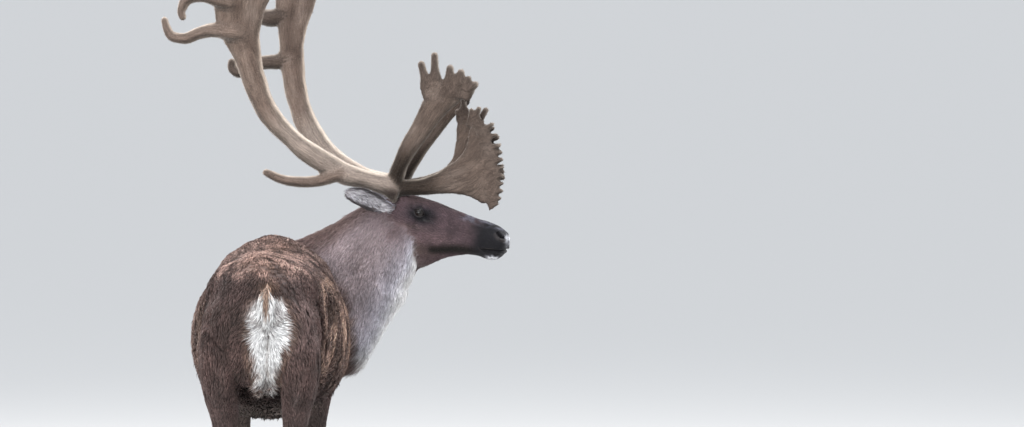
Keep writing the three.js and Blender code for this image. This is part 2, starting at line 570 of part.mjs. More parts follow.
const headGrown = headSolid(GAP).add(neckSolid(GAP));
for (const [label, side] of [['right', -1], ['left', 1]]) {
  add(`eye_${label}`, eyeSolid(side), COLOURS.eye, 0.15);
  add(`ear_${label}`, earSolid(side).subtract(headGrown).subtract(blade(side < 0 ? BEAM : BEAM_LEFT, side, 19, 8, GAP)), COLOURS.ear);
  const parts = antler(side, headGrown);
  for (const [part, body] of Object.entries(parts)) add(`antler_${label}_${part}`, body, COLOURS.velvet, 0.9);
}

group.position.set(-ORIGIN[0], -ORIGIN[1], 0);
group.updateMatrixWorld(true);

export default group;
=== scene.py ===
import math

import bmesh
import bpy
import numpy as np
from mathutils import Matrix, Vector
from mathutils.kdtree import KDTree


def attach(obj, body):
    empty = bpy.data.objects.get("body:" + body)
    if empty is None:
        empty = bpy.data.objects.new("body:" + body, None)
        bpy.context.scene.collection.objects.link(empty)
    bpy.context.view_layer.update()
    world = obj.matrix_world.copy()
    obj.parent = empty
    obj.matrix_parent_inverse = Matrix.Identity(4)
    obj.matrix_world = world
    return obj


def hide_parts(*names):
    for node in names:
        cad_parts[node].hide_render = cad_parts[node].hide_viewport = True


# A bull reindeer in summer velvet: the looks over the still CAD model.
# Tables are in model millimetres: +X the animal's right, +Y the way the trunk faces, +Z up.
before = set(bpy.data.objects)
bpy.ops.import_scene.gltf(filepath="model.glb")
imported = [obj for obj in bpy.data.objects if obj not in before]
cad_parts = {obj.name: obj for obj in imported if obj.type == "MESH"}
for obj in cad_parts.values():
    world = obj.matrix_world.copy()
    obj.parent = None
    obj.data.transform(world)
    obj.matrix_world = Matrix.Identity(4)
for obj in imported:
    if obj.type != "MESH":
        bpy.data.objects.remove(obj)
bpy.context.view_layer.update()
rng = np.random.default_rng(11)

MIDLINE = -20                   # the trunk's own middle
ORIGIN = [170, 224]              # ground point under the middle of the whole model's box
HEAD_POINT = [444.1, 640, 1244] # midline point between the eyes
HEAD_TURN = 14.6                # degrees that the muzzle swings from +X back towards -Y
HEAD_NOD = 15                   # degrees that the muzzle drops
EYE = {"x": 0, "y": 57, "z": 0, "r": 17.5}

# Trunk: y, top z, bottom z, half width, centre x, height of the widest level (0 bottom .. 1 top)
TRUNK = [
  [-640, 975, 900, 46, 2, 0.5],
  [-622, 1040, 838, 96, -4, 0.5],
  [-585, 1088, 790, 138, -12, 0.52],
  [-500, 1132, 745, 168, -18, 0.55],
  [-400, 1160, 715, 178, -20, 0.56],
  [-260, 1164, 684, 203, -18, 0.5],
  [-100, 1152, 648, 238, -15, 0.47],
  [60, 1147, 630, 247, -15, 0.47],
  [200, 1160, 630, 238, -18, 0.48],
  [320, 1181, 640, 216, -25, 0.5],
  [420, 1172, 662, 190, -22, 0.5],
  [510, 1135, 692, 160, -10, 0.5],
  [590, 1065, 735, 118, 5, 0.5],
  [640, 985, 800, 58, 15, 0.5],
]

# Neck: dorsal point, throat point, half width
NECK = [
  [-25, 330, 1140, -20, 430, 720, 150],
  [-2, 450, 1152, 70, 590, 715, 168],
  [52, 548, 1163, 205, 640, 728, 166],
  [104, 590, 1186, 280, 650, 815, 150],
  [160, 615, 1216, 340, 650, 912, 132],
  [218, 632, 1252, 390, 645, 990, 114],
  [280, 655, 1276, 428, 640, 1058, 88],
  [335, 662, 1274, 440, 636, 1105, 70],
]

# Head, in its own frame: x forward from the eyes, top z, bottom z, half width,
# widest z, power of the upper half, power of the lower half, narrowing of the jaw
HEAD = [
  [-134, 12, -50, 26, -14, 2, 2, 0],
  [-124, 28, -98, 50, -22, 2, 2, 0.1],
  [-100, 38, -150, 67, -28, 2.1, 2, 0.15],
  [-66, 43, -182, 74, -30, 2.2, 2, 0.25],
  [-28, 46, -196, 77, -26, 2.3, 2, 0.34],
  [0, 47, -197, 77, -24, 2.3, 2, 0.4],
  [32, 47, -186, 72, -28, 2.3, 2, 0.42],
  [63, 44, -164, 65, -34, 2.3, 2, 0.4],
  [99, 40, -139, 56, -38, 2.3, 2.1, 0.34],
  [138, 36, -115, 49, -38, 2.3, 2.2, 0.26],
  [177, 32, -97, 46, -34, 2.4, 2.3, 0.2],
  [216, 31, -91, 46, -30, 2.5, 2.4, 0.16],
  [250, 27, -91, 49, -26, 2.5, 2.5, 0.14],
  [275, 17, -82, 49, -26, 2.5, 2.5, 0.14],
  [291, 6, -66, 44, -28, 2.5, 2.5, 0.12],
  [300, -9, -46, 30, -28, 2.3, 2.3, 0.1],
]

# Legs, from the top: z, front y, back y, outer x, inner x (x counted from the midline)
HIND = [
  [1075, -330, -520, 90, 30],
  [1050, -300, -565, 126, 16],
  [980, -252, -622, 178, 16],
  [900, -236, -645, 190, 26],
  [820, -246, -640, 190, 46],
  [740, -268, -612, 180, 60],
  [680, -312, -590, 162, 64],
  [620, -396, -588, 146, 68],
  [570, -470, -603, 139, 73],
  [530, -510, -620, 135, 77],
  [490, -524, -612, 133, 81],
  [440, -536, -602, 130, 82],
  [300, -544, -594, 127, 83],
  [180, -543, -594, 128, 84],
  [128, -528, -594, 138, 76],
  [88, -502, -566, 138, 78],
  [48, -478, -556, 143, 75],
]
FORE = [
  [1010, 350, 250, 140, 80],
  [980, 400, 225, 172, 66],
  [930, 428, 210, 198, 56],
  [850, 470, 200, 213, 50],
  [780, 480, 212, 213, 52],
  [720, 452, 234, 200, 58],
  [660, 408, 254, 182, 68],
  [600, 396, 283, 166, 78],
  [520, 386, 300, 154, 84],
  [450, 384, 308, 150, 84],
  [400, 390, 312, 151, 82],
  [350, 380, 317, 147, 85],
  [280, 373, 322, 141, 89],
  [180, 374, 322, 140, 90],
  [128, 386, 316, 148, 82],
  [88, 404, 338, 146, 84],
  [48, 432, 352, 153, 79],
]
# Stance: how far each foot stands forward of, and outside, the square position
STANCE = {
  "hind_left": [-55, -12], "hind_right": [45, 14], "fore_left": [35, -6], "fore_right": [-40, 6],
}
CLAW = {"length": 100, "width": 47, "height": 47, "slit": 5}
DEWCLAW = {"length": 38, "width": 25, "height": 58, "floor": 16}

# Antler, in the head's frame. Blades and the beam run between two edges:
# first edge x, z second edge x, z y half thickness
BEAM = [
  [-78, 60, -88, 4, -44, 29],
  [-104, 86, -106, 16, -55, 31],
  [-130, 90, -126, 24, -66, 27],
  [-175, 88, -180, 30, -84, 25],
  [-234, 92, -243, 24, -108, 24],
  [-300, 109, -308, 38, -132, 25],
  [-374, 134, -389, 68, -165, 25],
  [-427, 160, -452, 101, -185, 25],
  [-478, 196, -509, 136, -205, 25],
  [-521, 243, -562, 183, -222, 25],
  [-553, 297, -606, 239, -236, 24],
  [-576, 345, -640, 293, -250, 23],
  [-592, 400, -680, 347, -264, 21],
  [-600, 450, -716, 388, -276, 19],
  [-598, 500, -748, 440, -288, 17],
  [-584, 556, -768, 508, -304, 16],
  [-568, 612, -776, 590, -316, 15],
  [-542, 668, -750, 690, -324, 14],
  [-506, 722, -698, 772, -325, 13],
  [-458, 768, -622, 836, -318, 12],
  [-408, 802, -530, 868, -309, 11],
  [-372, 822, -440, 866, -302, 9],
]
BEAM_LEFT = [
  *BEAM[:2],
  [-130, 84, -126, 20, -66, 27],
  [-178, 76, -184, 14, -84, 25],
  [-235, 70, -246, 7, -104, 25],
  [-336, 82, -362, 17, -140, 25],
  [-390, 100, -432, 42, -164, 25],
  [-445, 131, -496, 75, -186, 25],
  [-493, 168, -547, 118, -205, 25],
  [-529, 209, -585, 165, -218, 25],
  [-555, 249, -616, 206, -230, 24],
  [-579, 298, -644, 257, -243, 24],
  [-600, 347, -673, 309, -254, 23],
  [-612, 390, -694, 364, -263, 21],
  [-616, 440, -718, 420, -272, 19],
  [-615, 484, -742, 476, -281, 18],
  [-613, 527, -760, 530, -290, 17],
  [-602, 582, -772, 606, -304, 16],
  [-582, 634, -764, 684, -316, 15],
  [-550, 684, -730, 752, -324, 14],
  [-508, 726, -676, 810, -325, 13],
  [-456, 760, -604, 850, -318, 12],
  [-406, 786, -520, 866, -309, 11],
  [-372, 802, -440, 856, -302, 9],
]
# Round tines: x, y, z, radius
BACK_TINE = [
  [-262, -120, 66, 22], [-286, -128, 50, 25], [-323, -140, 20, 20], [-383, -155, 0, 18],
  [-441, -165, -7, 16], [-481, -171, -3, 13], [-496, -173, 0, 8],
]
REAR_TINES = [
  [[-640, -276, 424, 22], [-690, -283, 418, 28], [-742, -290, 409, 24], [-792, -298, 385, 20],
    [-831, -304, 357, 18], [-867, -309, 352, 16], [-896, -312, 378, 13], [-907, -313, 398, 8]],
  [[-700, -300, 506, 20], [-740, -305, 510, 26], [-790, -310, 509, 23], [-830, -315, 497, 20],
    [-856, -319, 470, 18], [-858, -322, 440, 14], [-848, -323, 424, 8]],
]
REAR_TINES_LEFT = [
  [[-625, -250, 322, 18], [-678, -257, 302, 25], [-722, -261, 287, 23], [-777, -266, 258, 21],
    [-806, -270, 230, 18], [-828, -272, 236, 15], [-835, -273, 256, 9]],
  [[-690, -280, 452, 20], [-721, -283, 440, 29], [-757, -287, 427, 28], [-801, -292, 424, 24],
    [-839, -296, 430, 19], [-866, -298, 448, 15], [-870, -299, 474, 9]],
]
CROWN_TINES = [
  [[-715, -328, 640, 16], [-790, -326, 690, 20], [-838, -318, 760, 16], [-850, -312, 812, 9]],
  [[-655, -322, 780, 16], [-705, -314, 846, 20], [-728, -304, 912, 15], [-726, -298, 956, 8]],
  [[-550, -312, 830, 14], [-580, -302, 902, 18], [-580, -292, 962, 14], [-566, -286, 1004, 8]],
  [[-430, -303, 840, 12], [-420, -292, 900, 15], [-388, -280, 950, 13], [-358, -272, 976, 8]],
]
BEZ = [
  [-128, 62, -90, 56, -50, 22], [-131, 98, -80, 92, -54, 21],
  [-125, 133, -76, 123, -62, 19], [-113, 191, -58, 176, -75, 16], [-97, 249, -33, 233, -85, 14],
  [-78, 312, -8, 290, -94, 12], [-68, 362, 24, 346, -101, 11], [-68, 400, 60, 398, -108, 9],
  [-58, 430, 82, 438, -111, 7],
]
BEZ_LEFT = [
  [-128, 62, -92, 56, -50, 22], [-131, 98, -86, 92, -54, 21],
  [-125, 133, -78, 125, -62, 19], [-116, 191, -62, 180, -75, 16], [-104, 249, -42, 236, -85, 14],
  [-92, 308, -18, 294, -94, 12], [-86, 352, 6, 342, -101, 11], [-84, 384, 16, 376, -108, 9],
  [-76, 402, 22, 394, -111, 7],
]
BEZ_LEFT_POINTS = [
  [-74, 368, -106, 420, -108, 13], [-46, 380, -58, 434, -110, 13], [-18, 380, -14, 428, -112, 12],
  [4, 368, 24, 412, -112, 12],
]
BEZ_POINTS = [
  [-62, 400, -106, 476, -108, 14], [-38, 416, -68, 516, -110, 14], [4, 424, -6, 490, -112, 14],
  [38, 424, 34, 486, -113, 15], [66, 420, 94, 460, -112, 14],
]
BROW_NEAR = [
  [-104, 72, -78, 34, -46, 20], [-69, 87, -56, 42, -39, 20], [-30, 104, -12, 55, -34, 18],
  [13, 135, 43, 73, -29, 16], [49, 171, 91, 85, -25, 13], [72, 206, 127, 89, -23, 11],
  [84, 250, 164, 84, -22, 9.5], [82, 298, 197, 80, -21, 8.5], [76, 340, 226, 80, -20, 7.5],
  [98, 352, 230, 94, -20, 7], [124, 338, 232, 118, -20, 6.5], [152, 306, 231, 150, -20, 6],
]
BROW_NEAR_POINTS = [
  [90, 336, 97, 378, -20, 11], [80, 326, 71, 366, -20, 10], [132, 308, 154, 340, -20, 10],
  [164, 258, 195, 279, -20, 9.5], [186, 218, 215, 238, -20, 9.5], [201, 172, 231, 188, -20, 9.5],
  [208, 124, 241, 140, -20, 9.5],
]
BROW_FAR = [
  [-104, 70, -80, 34, -44, 20], [-39, 107, -14, 56, -36, 18], [0, 135, 38, 73, -32, 16],
  [30, 165, 84, 84, -29, 14], [38, 205, 120, 86, -28, 12], [32, 256, 152, 82, -27, 10],
  [20, 312, 180, 80, -26, 9], [26, 360, 200, 86, -26, 8], [62, 356, 210, 108, -26, 6],
]
BROW_FAR_POINTS = [
  [30, 318, 10, 344, -26, 10], [38, 338, 22, 390, -26, 11], [88, 310, 108, 374, -26, 11],
  [105, 262, 170, 296, -26, 11], [120, 216, 192, 252, -26, 10], [146, 150, 222, 176, -26, 10],
]
TAIL = [
  [1098, -596, 20, 14], [1085, -618, 30, 24], [1050, -634, 36, 27], [1005, -646, 38, 26],
  [965, -652, 34, 23], [936, -652, 22, 16], [922, -650, 9, 8],
]
TAIL_X, TAIL_TOP = 14, 1098
EAR = {"base": [-96, -60, -13], "tip": [-234, -140, 19], "rows": [
    [-0.06, 17, 2, 15], [0.08, 22, 8, 15], [0.25, 32, 15, 12], [0.45, 39, 18, 9.5], [0.65, 39, 15, 8],
    [0.82, 32, 9, 7], [0.94, 20, 4, 5.5], [1, 8, 1, 3.5]]}


# ---------------------------------------------------------------- small tools
def unit(v):
    return v / np.maximum(np.linalg.norm(v, axis=-1, keepdims=True), 1e-9)


def smooth(x, a, b):
    t = np.clip((np.asarray(x, float) - a) / (b - a), 0, 1)
    return t * t * (3 - 2 * t)


def srgb(*c):
    c = np.array(c, float) / 255
    return np.where(c <= 0.04045, c / 12.92, ((c + 0.055) / 1.055) ** 2.4)


def stack(*c):
    return np.stack(np.broadcast_arrays(*[np.asarray(x, float) for x in c]), -1)


def to_row(p):
    """Model millimetres to metres in the row frame."""
    return (np.asarray(p, float) - [ORIGIN[0], ORIGIN[1], 0]) / 1000


def resample(rows, n, key):
    """Smooth curve through a table's rows without overshoot, at n even places."""
    rows = np.array(rows, float)
    at = key(rows.T)
    t = np.r_[0, np.cumsum(np.linalg.norm(np.diff(at, axis=0), axis=1))]
    h, d = np.diff(t)[:, None], np.diff(rows, axis=0) / np.diff(t)[:, None]
    m = np.zeros_like(rows)
    m[0], m[-1] = d[0], d[-1]
    w0, w1 = 2 * h[1:] + h[:-1], h[1:] + 2 * h[:-1]
    same = d[:-1] * d[1:] > 0
    da, db = np.where(same, d[:-1], 1), np.where(same, d[1:], 1)
    m[1:-1] = np.where(same, (w0 + w1) / (w0 / da + w1 / db), 0)
    s = np.linspace(0, t[-1], n)
    i = np.clip(np.searchsorted(t, s, side="left") - 1, 0, len(t) - 2)
    h, u = h[i], ((s - t[i]) / np.diff(t)[i])[:, None]
    u2, u3 = u * u, u * u * u
    return ((2 * u3 - 3 * u2 + 1) * rows[i] + (u3 - 2 * u2 + u) * h * m[i]
            + (3 * u2 - 2 * u3) * rows[i + 1] + (u3 - u2) * h * m[i + 1])


def ring(centre, side, up, half, top, bottom, k, p_top=2.0, p_bottom=2.0, narrow=0.0):
    """Rounded sections, one per row: half width to each side, own height up and down."""
    n = len(centre)
    a = 2 * np.pi * (np.arange(k) + 0.5) / k
    c, s = np.cos(a)[None], np.sin(a)[None]
    col = lambda v: np.broadcast_to(np.asarray(v, float).reshape(-1, 1), (n, 1))
    p = np.where(s >= 0, col(p_top), col(p_bottom))
    x = np.sign(c) * np.abs(c) ** (2 / p) * col(half) * np.where(s < 0, 1 + col(narrow) * s, 1)
    z = np.where(s >= 0, np.abs(s) ** (2 / p) * col(top), -np.abs(s) ** (2 / p) * col(bottom))
    side, up = (np.broadcast_to(v, (n, 3)) for v in (side, up))
    return centre[:, None] + x[..., None] * side[:, None] + z[..., None] * up[:, None]


def loft(rings):
    """Closed mesh through sections (n, k, 3): points and faces, normals outwards."""
    n, k = rings.shape[:2]
    co = np.concatenate([rings.reshape(-1, 3), rings[:1].mean(1), rings[-1:].mean(1)])
    i, j = np.meshgrid(np.arange(n - 1), np.arange(k), indexing="ij")
    a, b = i * k + j, i * k + (j + 1) % k
    quads = np.stack([a, b, b + k, a + k], -1).reshape(-1, 4)
    j = np.arange(k)
    start = np.stack([(j + 1) % k, j, np.full(k, n * k)], -1)
    e = (n - 1) * k
    end = np.stack([e + j, e + (j + 1) % k, np.full(k, n * k + 1)], -1)
    v = 0.0
    for q in (quads[:, [0, 1, 2]], quads[:, [0, 2, 3]], start, end):
        v += np.einsum("ij,ij->", co[q[:, 0]], np.cross(co[q[:, 1]], co[q[:, 2]]))
    if v < 0:
        quads, start, end = quads[:, ::-1], start[:, ::-1], end[:, ::-1]
    return co, [*map(tuple, quads.tolist()), *map(tuple, start.tolist()), *map(tuple, end.tolist())]


def joined(parts):
    co, faces, base = [], [], 0
    for c, f in parts:
        co.append(c)
        faces += [tuple(i + base for i in q) for q in f]
        base += len(c)
    return np.concatenate(co), faces


def mesh_object(name, co, faces, is_row=False):
    me = bpy.data.meshes.new(name)
    me.from_pydata((co if is_row else to_row(co)).tolist(), [], faces)
    me.update()
    ob = bpy.data.objects.new(name, me)
    bpy.context.scene.collection.objects.link(ob)
    return ob


def drop(ob):
    me = ob.data
    bpy.data.objects.remove(ob)
    bpy.data.meshes.remove(me)


def voxel_union(parts, size, name):
    """All the closed parts as one mesh of even quads."""
    ob = mesh_object(name + "_parts", *joined(parts))
    m = ob.modifiers.new("union", "REMESH")
    m.mode, m.voxel_size, m.adaptivity = "VOXEL", size / 1000, 0
    me = bpy.data.meshes.new_from_object(ob.evaluated_get(bpy.context.evaluated_depsgraph_get()))
    drop(ob)
    ob = bpy.data.objects.new(name, me)
    bpy.context.scene.collection.objects.link(ob)
    return ob


def points(me):
    co = np.empty(len(me.vertices) * 3, np.float32)
    me.vertices.foreach_get("co", co)
    return co.reshape(-1, 3).astype(float) * 1000 + [ORIGIN[0], ORIGIN[1], 0]


def set_points(me, p):
    me.vertices.foreach_set("co", to_row(p).astype(np.float32).ravel())
    me.update()


def edges(me):
    e = np.empty(len(me.edges) * 2, np.int32)
    me.edges.foreach_get("vertices", e)
    return e.reshape(-1, 2)


def triangles(me):
    me.calc_loop_triangles()
    t = np.empty(len(me.loop_triangles) * 3, np.int32)
    me.loop_triangles.foreach_get("vertices", t)
    return t.reshape(-1, 3)


def vertex_normals(p, t):
    n = np.cross(p[t[:, 1]] - p[t[:, 0]], p[t[:, 2]] - p[t[:, 0]])
    out = np.stack([sum(np.bincount(t[:, c], n[:, k], len(p)) for c in range(3)) for k in range(3)], 1)
    return unit(out)


def around(values, e, n, w=None):
    """The mean of each vertex's neighbours."""
    values = values.reshape(n, -1)
    w = np.ones(len(e)) if w is None else w
    total = np.bincount(e[:, 0], w, n) + np.bincount(e[:, 1], w, n)
    s = np.stack([np.bincount(e[:, 0], w * values[e[:, 1], k], n) + np.bincount(e[:, 1], w * values[e[:, 0], k], n)
                  for k in range(values.shape[1])], 1)
    return s / np.maximum(total, 1e-9)[:, None]


def relax(p, e, weight, times):
    for _ in range(times):
        p = p + np.reshape(weight, (-1, 1)) * (around(p, e, len(p)) - p)
    return p


def hashed(i, seed=0):
    """A number from 0 to 1 for each row of whole numbers."""
    i = np.asarray(i).astype(np.int64)
    h = np.full(i.shape[0], 1013904223 + seed * 7919, np.int64)
    for k in range(i.shape[1]):
        h = (h ^ (i[:, k] * 374761393 + 668265263)) & 0xFFFFFFFF
        h = (h * 1274126177 + (h >> 13)) & 0xFFFFFFFF
        h = h ^ (h >> 16)
    return (h & 0xFFFFFF) / float(0x1000000)


def noise(p, size, seed=0):
    """Smooth noise, about -1 to 1, with cells of the given size."""
    q = np.asarray(p, float) / size
    i = np.floor(q).astype(np.int64)
    f = q - i
    f = f * f * (3 - 2 * f)
    out = np.zeros(len(q))
    for dx in (0, 1):
        for dy in (0, 1):
            for dz in (0, 1):
                w = (f[:, 0] if dx else 1 - f[:, 0]) * (f[:, 1] if dy else 1 - f[:, 1]) * (f[:, 2] if dz else 1 - f[:, 2])
                out += w * hashed(i + [dx, dy, dz], seed)
    return out * 2 - 1


def to_line(p, line):
    """Distance from each point to a line through points, and where along it (0 to 1)."""
    line = np.asarray(line, float)
    best, at = np.full(len(p), 1e9), np.zeros(len(p))
    for i in range(len(line) - 1):
        d = line[i + 1] - line[i]
        u = np.clip((p - line[i]) @ d / (d @ d), 0, 1)
        r = np.linalg.norm(p - line[i] - u[:, None] * d, axis=1)
        at = np.where(r < best, (i + u) / (len(line) - 1), at)
        best = np.minimum(best, r)
    return best, at


def bump(p, centre, radii, height):
    centre = p[((p - centre) ** 2).sum(1).argmin()]
    return height * np.exp(-(((p - centre) / radii) ** 2).sum(1))


def laid(p, line, step=9.0):
    """The line in short steps, each point moved to the nearest of the surface's points."""
    line = np.asarray(line, float)
    at = [line[0]]
    for a, b in zip(line[:-1], line[1:]):
        k = max(1, int(round(np.linalg.norm(b - a) / step)))
        at += [a + (b - a) * (i + 1) / k for i in range(k)]
    out = np.array([p[((p - a) ** 2).sum(1).argmin()] for a in at])
    if len(out) > 3:
        out[1:-1] = (out[:-2] + 2 * out[1:-1] + out[2:]) / 4
    return out


def groove(p, line, radius, height):
    """A valley, or with a positive height a ridge, that runs over the surface along the line."""
    d, at = to_line(p, laid(p, line, max(3.0, radius * 0.8)))
    ends = smooth(at, -0.02, 0.12) * (1 - smooth(at, 0.88, 1.02))
    return height * np.exp(-(d / radius) ** 2) * (0.25 + 0.75 * ends)


def attribute(me, name, kind, values):
    a = me.attributes.get(name) or me.attributes.new(name, kind, "POINT")
    values = np.asarray(values, np.float32)
    if kind == "FLOAT_COLOR":
        values = np.concatenate([values, np.ones((len(values), 1), np.float32)], 1)
        a.data.foreach_set("color", values.ravel())
    else:
        a.data.foreach_set("value" if kind == "FLOAT" else "vector", values.ravel())


# ---------------------------------------------------------------- the head's frame
TURN, NOD = math.radians(HEAD_TURN), math.radians(HEAD_NOD)
FORWARD = np.array([math.cos(TURN) * math.cos(NOD), -math.sin(TURN) * math.cos(NOD), -math.sin(NOD)])
LEFT = np.array([math.sin(TURN), math.cos(TURN), 0.0])
CROWN = np.cross(FORWARD, LEFT)
HEAD_FRAME = np.stack([FORWARD, LEFT, CROWN])          # rows: the head's own axes


def H(x, y, z):
    """The head's own millimetres to model millimetres."""
    return np.array(HEAD_POINT) + stack(x, y, z) @ HEAD_FRAME


def in_head(p):
    return (p - HEAD_POINT) @ HEAD_FRAME.T


# ---------------------------------------------------------------- flesh, inside the coat
def trunk_rings(n=70, k=72, inset=True):
    y, top, bottom, half, x, level = resample(TRUNK, n, lambda r: stack(0, r[0], (r[1] + r[2]) / 4)).T
    z = bottom + (top - bottom) * level
    cut = (14 + 8 * smooth(y, -560, -300) - 2 * smooth(y, 200, 400)) * inset
    belly = (16 + 12 * smooth(y, -500, -150)) * inset
    y = y + (20 * (1 - smooth(y, -640, -540)) - 22 * smooth(y, 540, 640)) * inset
    small = np.minimum(1, half / 110)
    return ring(stack(x, y, z), np.array([1.0, 0, 0]), np.array([0, 0, 1.0]), half - cut * small,
                top - z - cut * small, z - bottom - belly * small, k, 2.05, 2.15)


def neck_rows(n=50):
    r = resample(NECK, n, lambda r: stack((r[0] + r[3]) / 2, (r[1] + r[4]) / 2, (r[2] + r[5]) / 2))
    back, throat = r[:, 0:3], r[:, 3:6]
    mid = (back + throat) / 2
    along = unit(mid[np.minimum(np.arange(n) + 1, n - 1)] - mid[np.maximum(np.arange(n) - 1, 0)])
    half = np.linalg.norm(back - throat, axis=1) / 2
    up = unit(back - throat)
    side = unit(np.cross(along, up))
    return mid, along, side, up, half, r[:, 6]


def neck_rings(n=50, k=60, inset=True):
    mid, along, side, up, half, wide = neck_rows(n)
    t = np.linspace(0, 1, n)
    deep = (1 - 0.72 * smooth(t, 0.55, 1)) * inset
    return ring(mid, side, up, wide - 24 * deep, half - 20 * deep, half - 38 * deep, k, 1.85, 2.1)


def leg_rows(name, n):
    hind = name.startswith("hind")
    rows = resample(HIND if hind else FORE, n, lambda r: stack((r[3] + r[4]) / 2, (r[1] + r[2]) / 2, r[0]))
    z = rows[:, 0]
    top = 800 if hind else 760
    s = np.clip((top - z) / (top - 90), 0, 1)
    e = s * s * (3 - 2 * s)
    rows[:, 1:3] += STANCE[name][0] * e[:, None]
    rows[:, 3:5] += STANCE[name][1] * e[:, None]
    sign = -1 if name.endswith("left") else 1
    cx = MIDLINE * np.minimum(1, z / 700) + sign * (rows[:, 3] + rows[:, 4]) / 2
    return z, cx, (rows[:, 1] + rows[:, 2]) / 2, (rows[:, 3] - rows[:, 4]) / 2, (rows[:, 1] - rows[:, 2]) / 2


def leg_rings(name, n=110, k=40, inset=True):
    z, x, y, half, deep = leg_rows(name, n)
    cut = (3.5 + 2.5 * smooth(z, 120, 400) + 12 * smooth(z, 450, 800)) * inset
    return ring(stack(x, y, z), np.array([1.0, 0, 0]), np.array([0, 1.0, 0]), half - cut, deep - cut, deep - cut, k, 2.15, 2.15)


def head_rows(n):
    return resample(HEAD, n, lambda r: stack(r[0], 0, (r[1] + r[2]) / 3)).T


def head_rings(n=90, k=72, inset=True):
    x, top, bottom, half, z, pt, pb, narrow = head_rows(n)
    cut = (2.5 + 2.5 * (1 - smooth(x, 150, 260)) + 3 * (1 - smooth(x, -90, -20))) * inset
    cut = cut * np.minimum(1, half / 40)
    x = x - 3 * smooth(x, 250, 300) * inset
    return ring(H(x, 0, z), LEFT, CROWN, half - cut, top - z - cut, z - bottom - cut, k, pt, pb, narrow)


def tail_rings(n=26, k=20, core=0.5):
    z, y, half, thick = resample(TAIL, n, lambda r: stack(0, r[1], r[0])).T
    z = TAIL_TOP - (TAIL_TOP - z) * 0.74
    return ring(stack(TAIL_X, y + 8, z), np.array([1.0, 0, 0]), np.array([0, 1.0, 0]), half * core, thick * core, thick * core, k)


LEGS = ["hind_left", "hind_right", "fore_left", "fore_right"]


def belly_parts():
    """The fill between the thighs under the tail, and the sheath in front of them."""
    t = np.linspace(0, 1, 16)
    fill = ring(stack(2 - 6 * t, -570 + 90 * t, 950 - 215 * t), np.array([1.0, 0, 0]), np.array([0, 1.0, 0.3]),
                60 * np.sqrt(1 - 0.93 * t ** 3), 44 - 12 * t, 44 - 12 * t, 24)
    s = np.linspace(0, 1, 16)
    dome = np.sqrt(1 - np.abs(2 * s - 1) ** 3.0 * 0.97)
    sheath = ring(stack(-18, -250 + 190 * s, 690 - 8 * s), np.array([1.0, 0, 0]), np.array([0, 0, 1.0]),
                  34 * dome, 40 * dome, 26 * dome, 20)
    return [loft(fill), loft(sheath)]


# ---------------------------------------------------------------- where on the animal a point is
PARTS = ["trunk", "neck", "head", *LEGS, "tail"]


def label(p):
    """Each point's part, from the nearest point of the parts' own surfaces."""
    sets = [trunk_rings(40, 40), neck_rings(26, 36)[:, :], head_rings(40, 36)] + [leg_rings(n, 56, 20) for n in LEGS] + [tail_rings(14, 12)]
    tree = KDTree(sum(s.shape[0] * s.shape[1] for s in sets))
    owner, i = [], 0
    for part, s in enumerate(sets):
        for q in s.reshape(-1, 3):
            tree.insert(q, i)
            owner.append(part)
            i += 1
    tree.balance()
    owner = np.array(owner)
    return owner[[tree.find(q)[1] for q in p.tolist()]]


def neck_place(p, n=50):
    """Along the neck (0 trunk, 1 head), and sideways and upward offsets from its axis."""
    mid, along, side, up, half, wide = neck_rows(n)
    d, t = to_line(p, mid)
    i = np.clip(np.round(t * (n - 1)).astype(int), 0, n - 1)
    q = p - mid[i]
    return t, (q * side[i]).sum(1) / wide[i], (q * up[i]).sum(1) / half[i], along[i], side[i], up[i]


# ---------------------------------------------------------------- the skin
HEAD_BOX = lambda h, g=0: (h[:, 0] > -118 - g) & (np.abs(h[:, 1]) < 108) & (h[:, 2] > -228) & (h[:, 2] < 70)


def head_share(h):
    return smooth(h[:, 0], -125, -75) * smooth(h[:, 2], -262, -215) * (np.abs(h[:, 1]) < 140) * (h[:, 2] < 90)


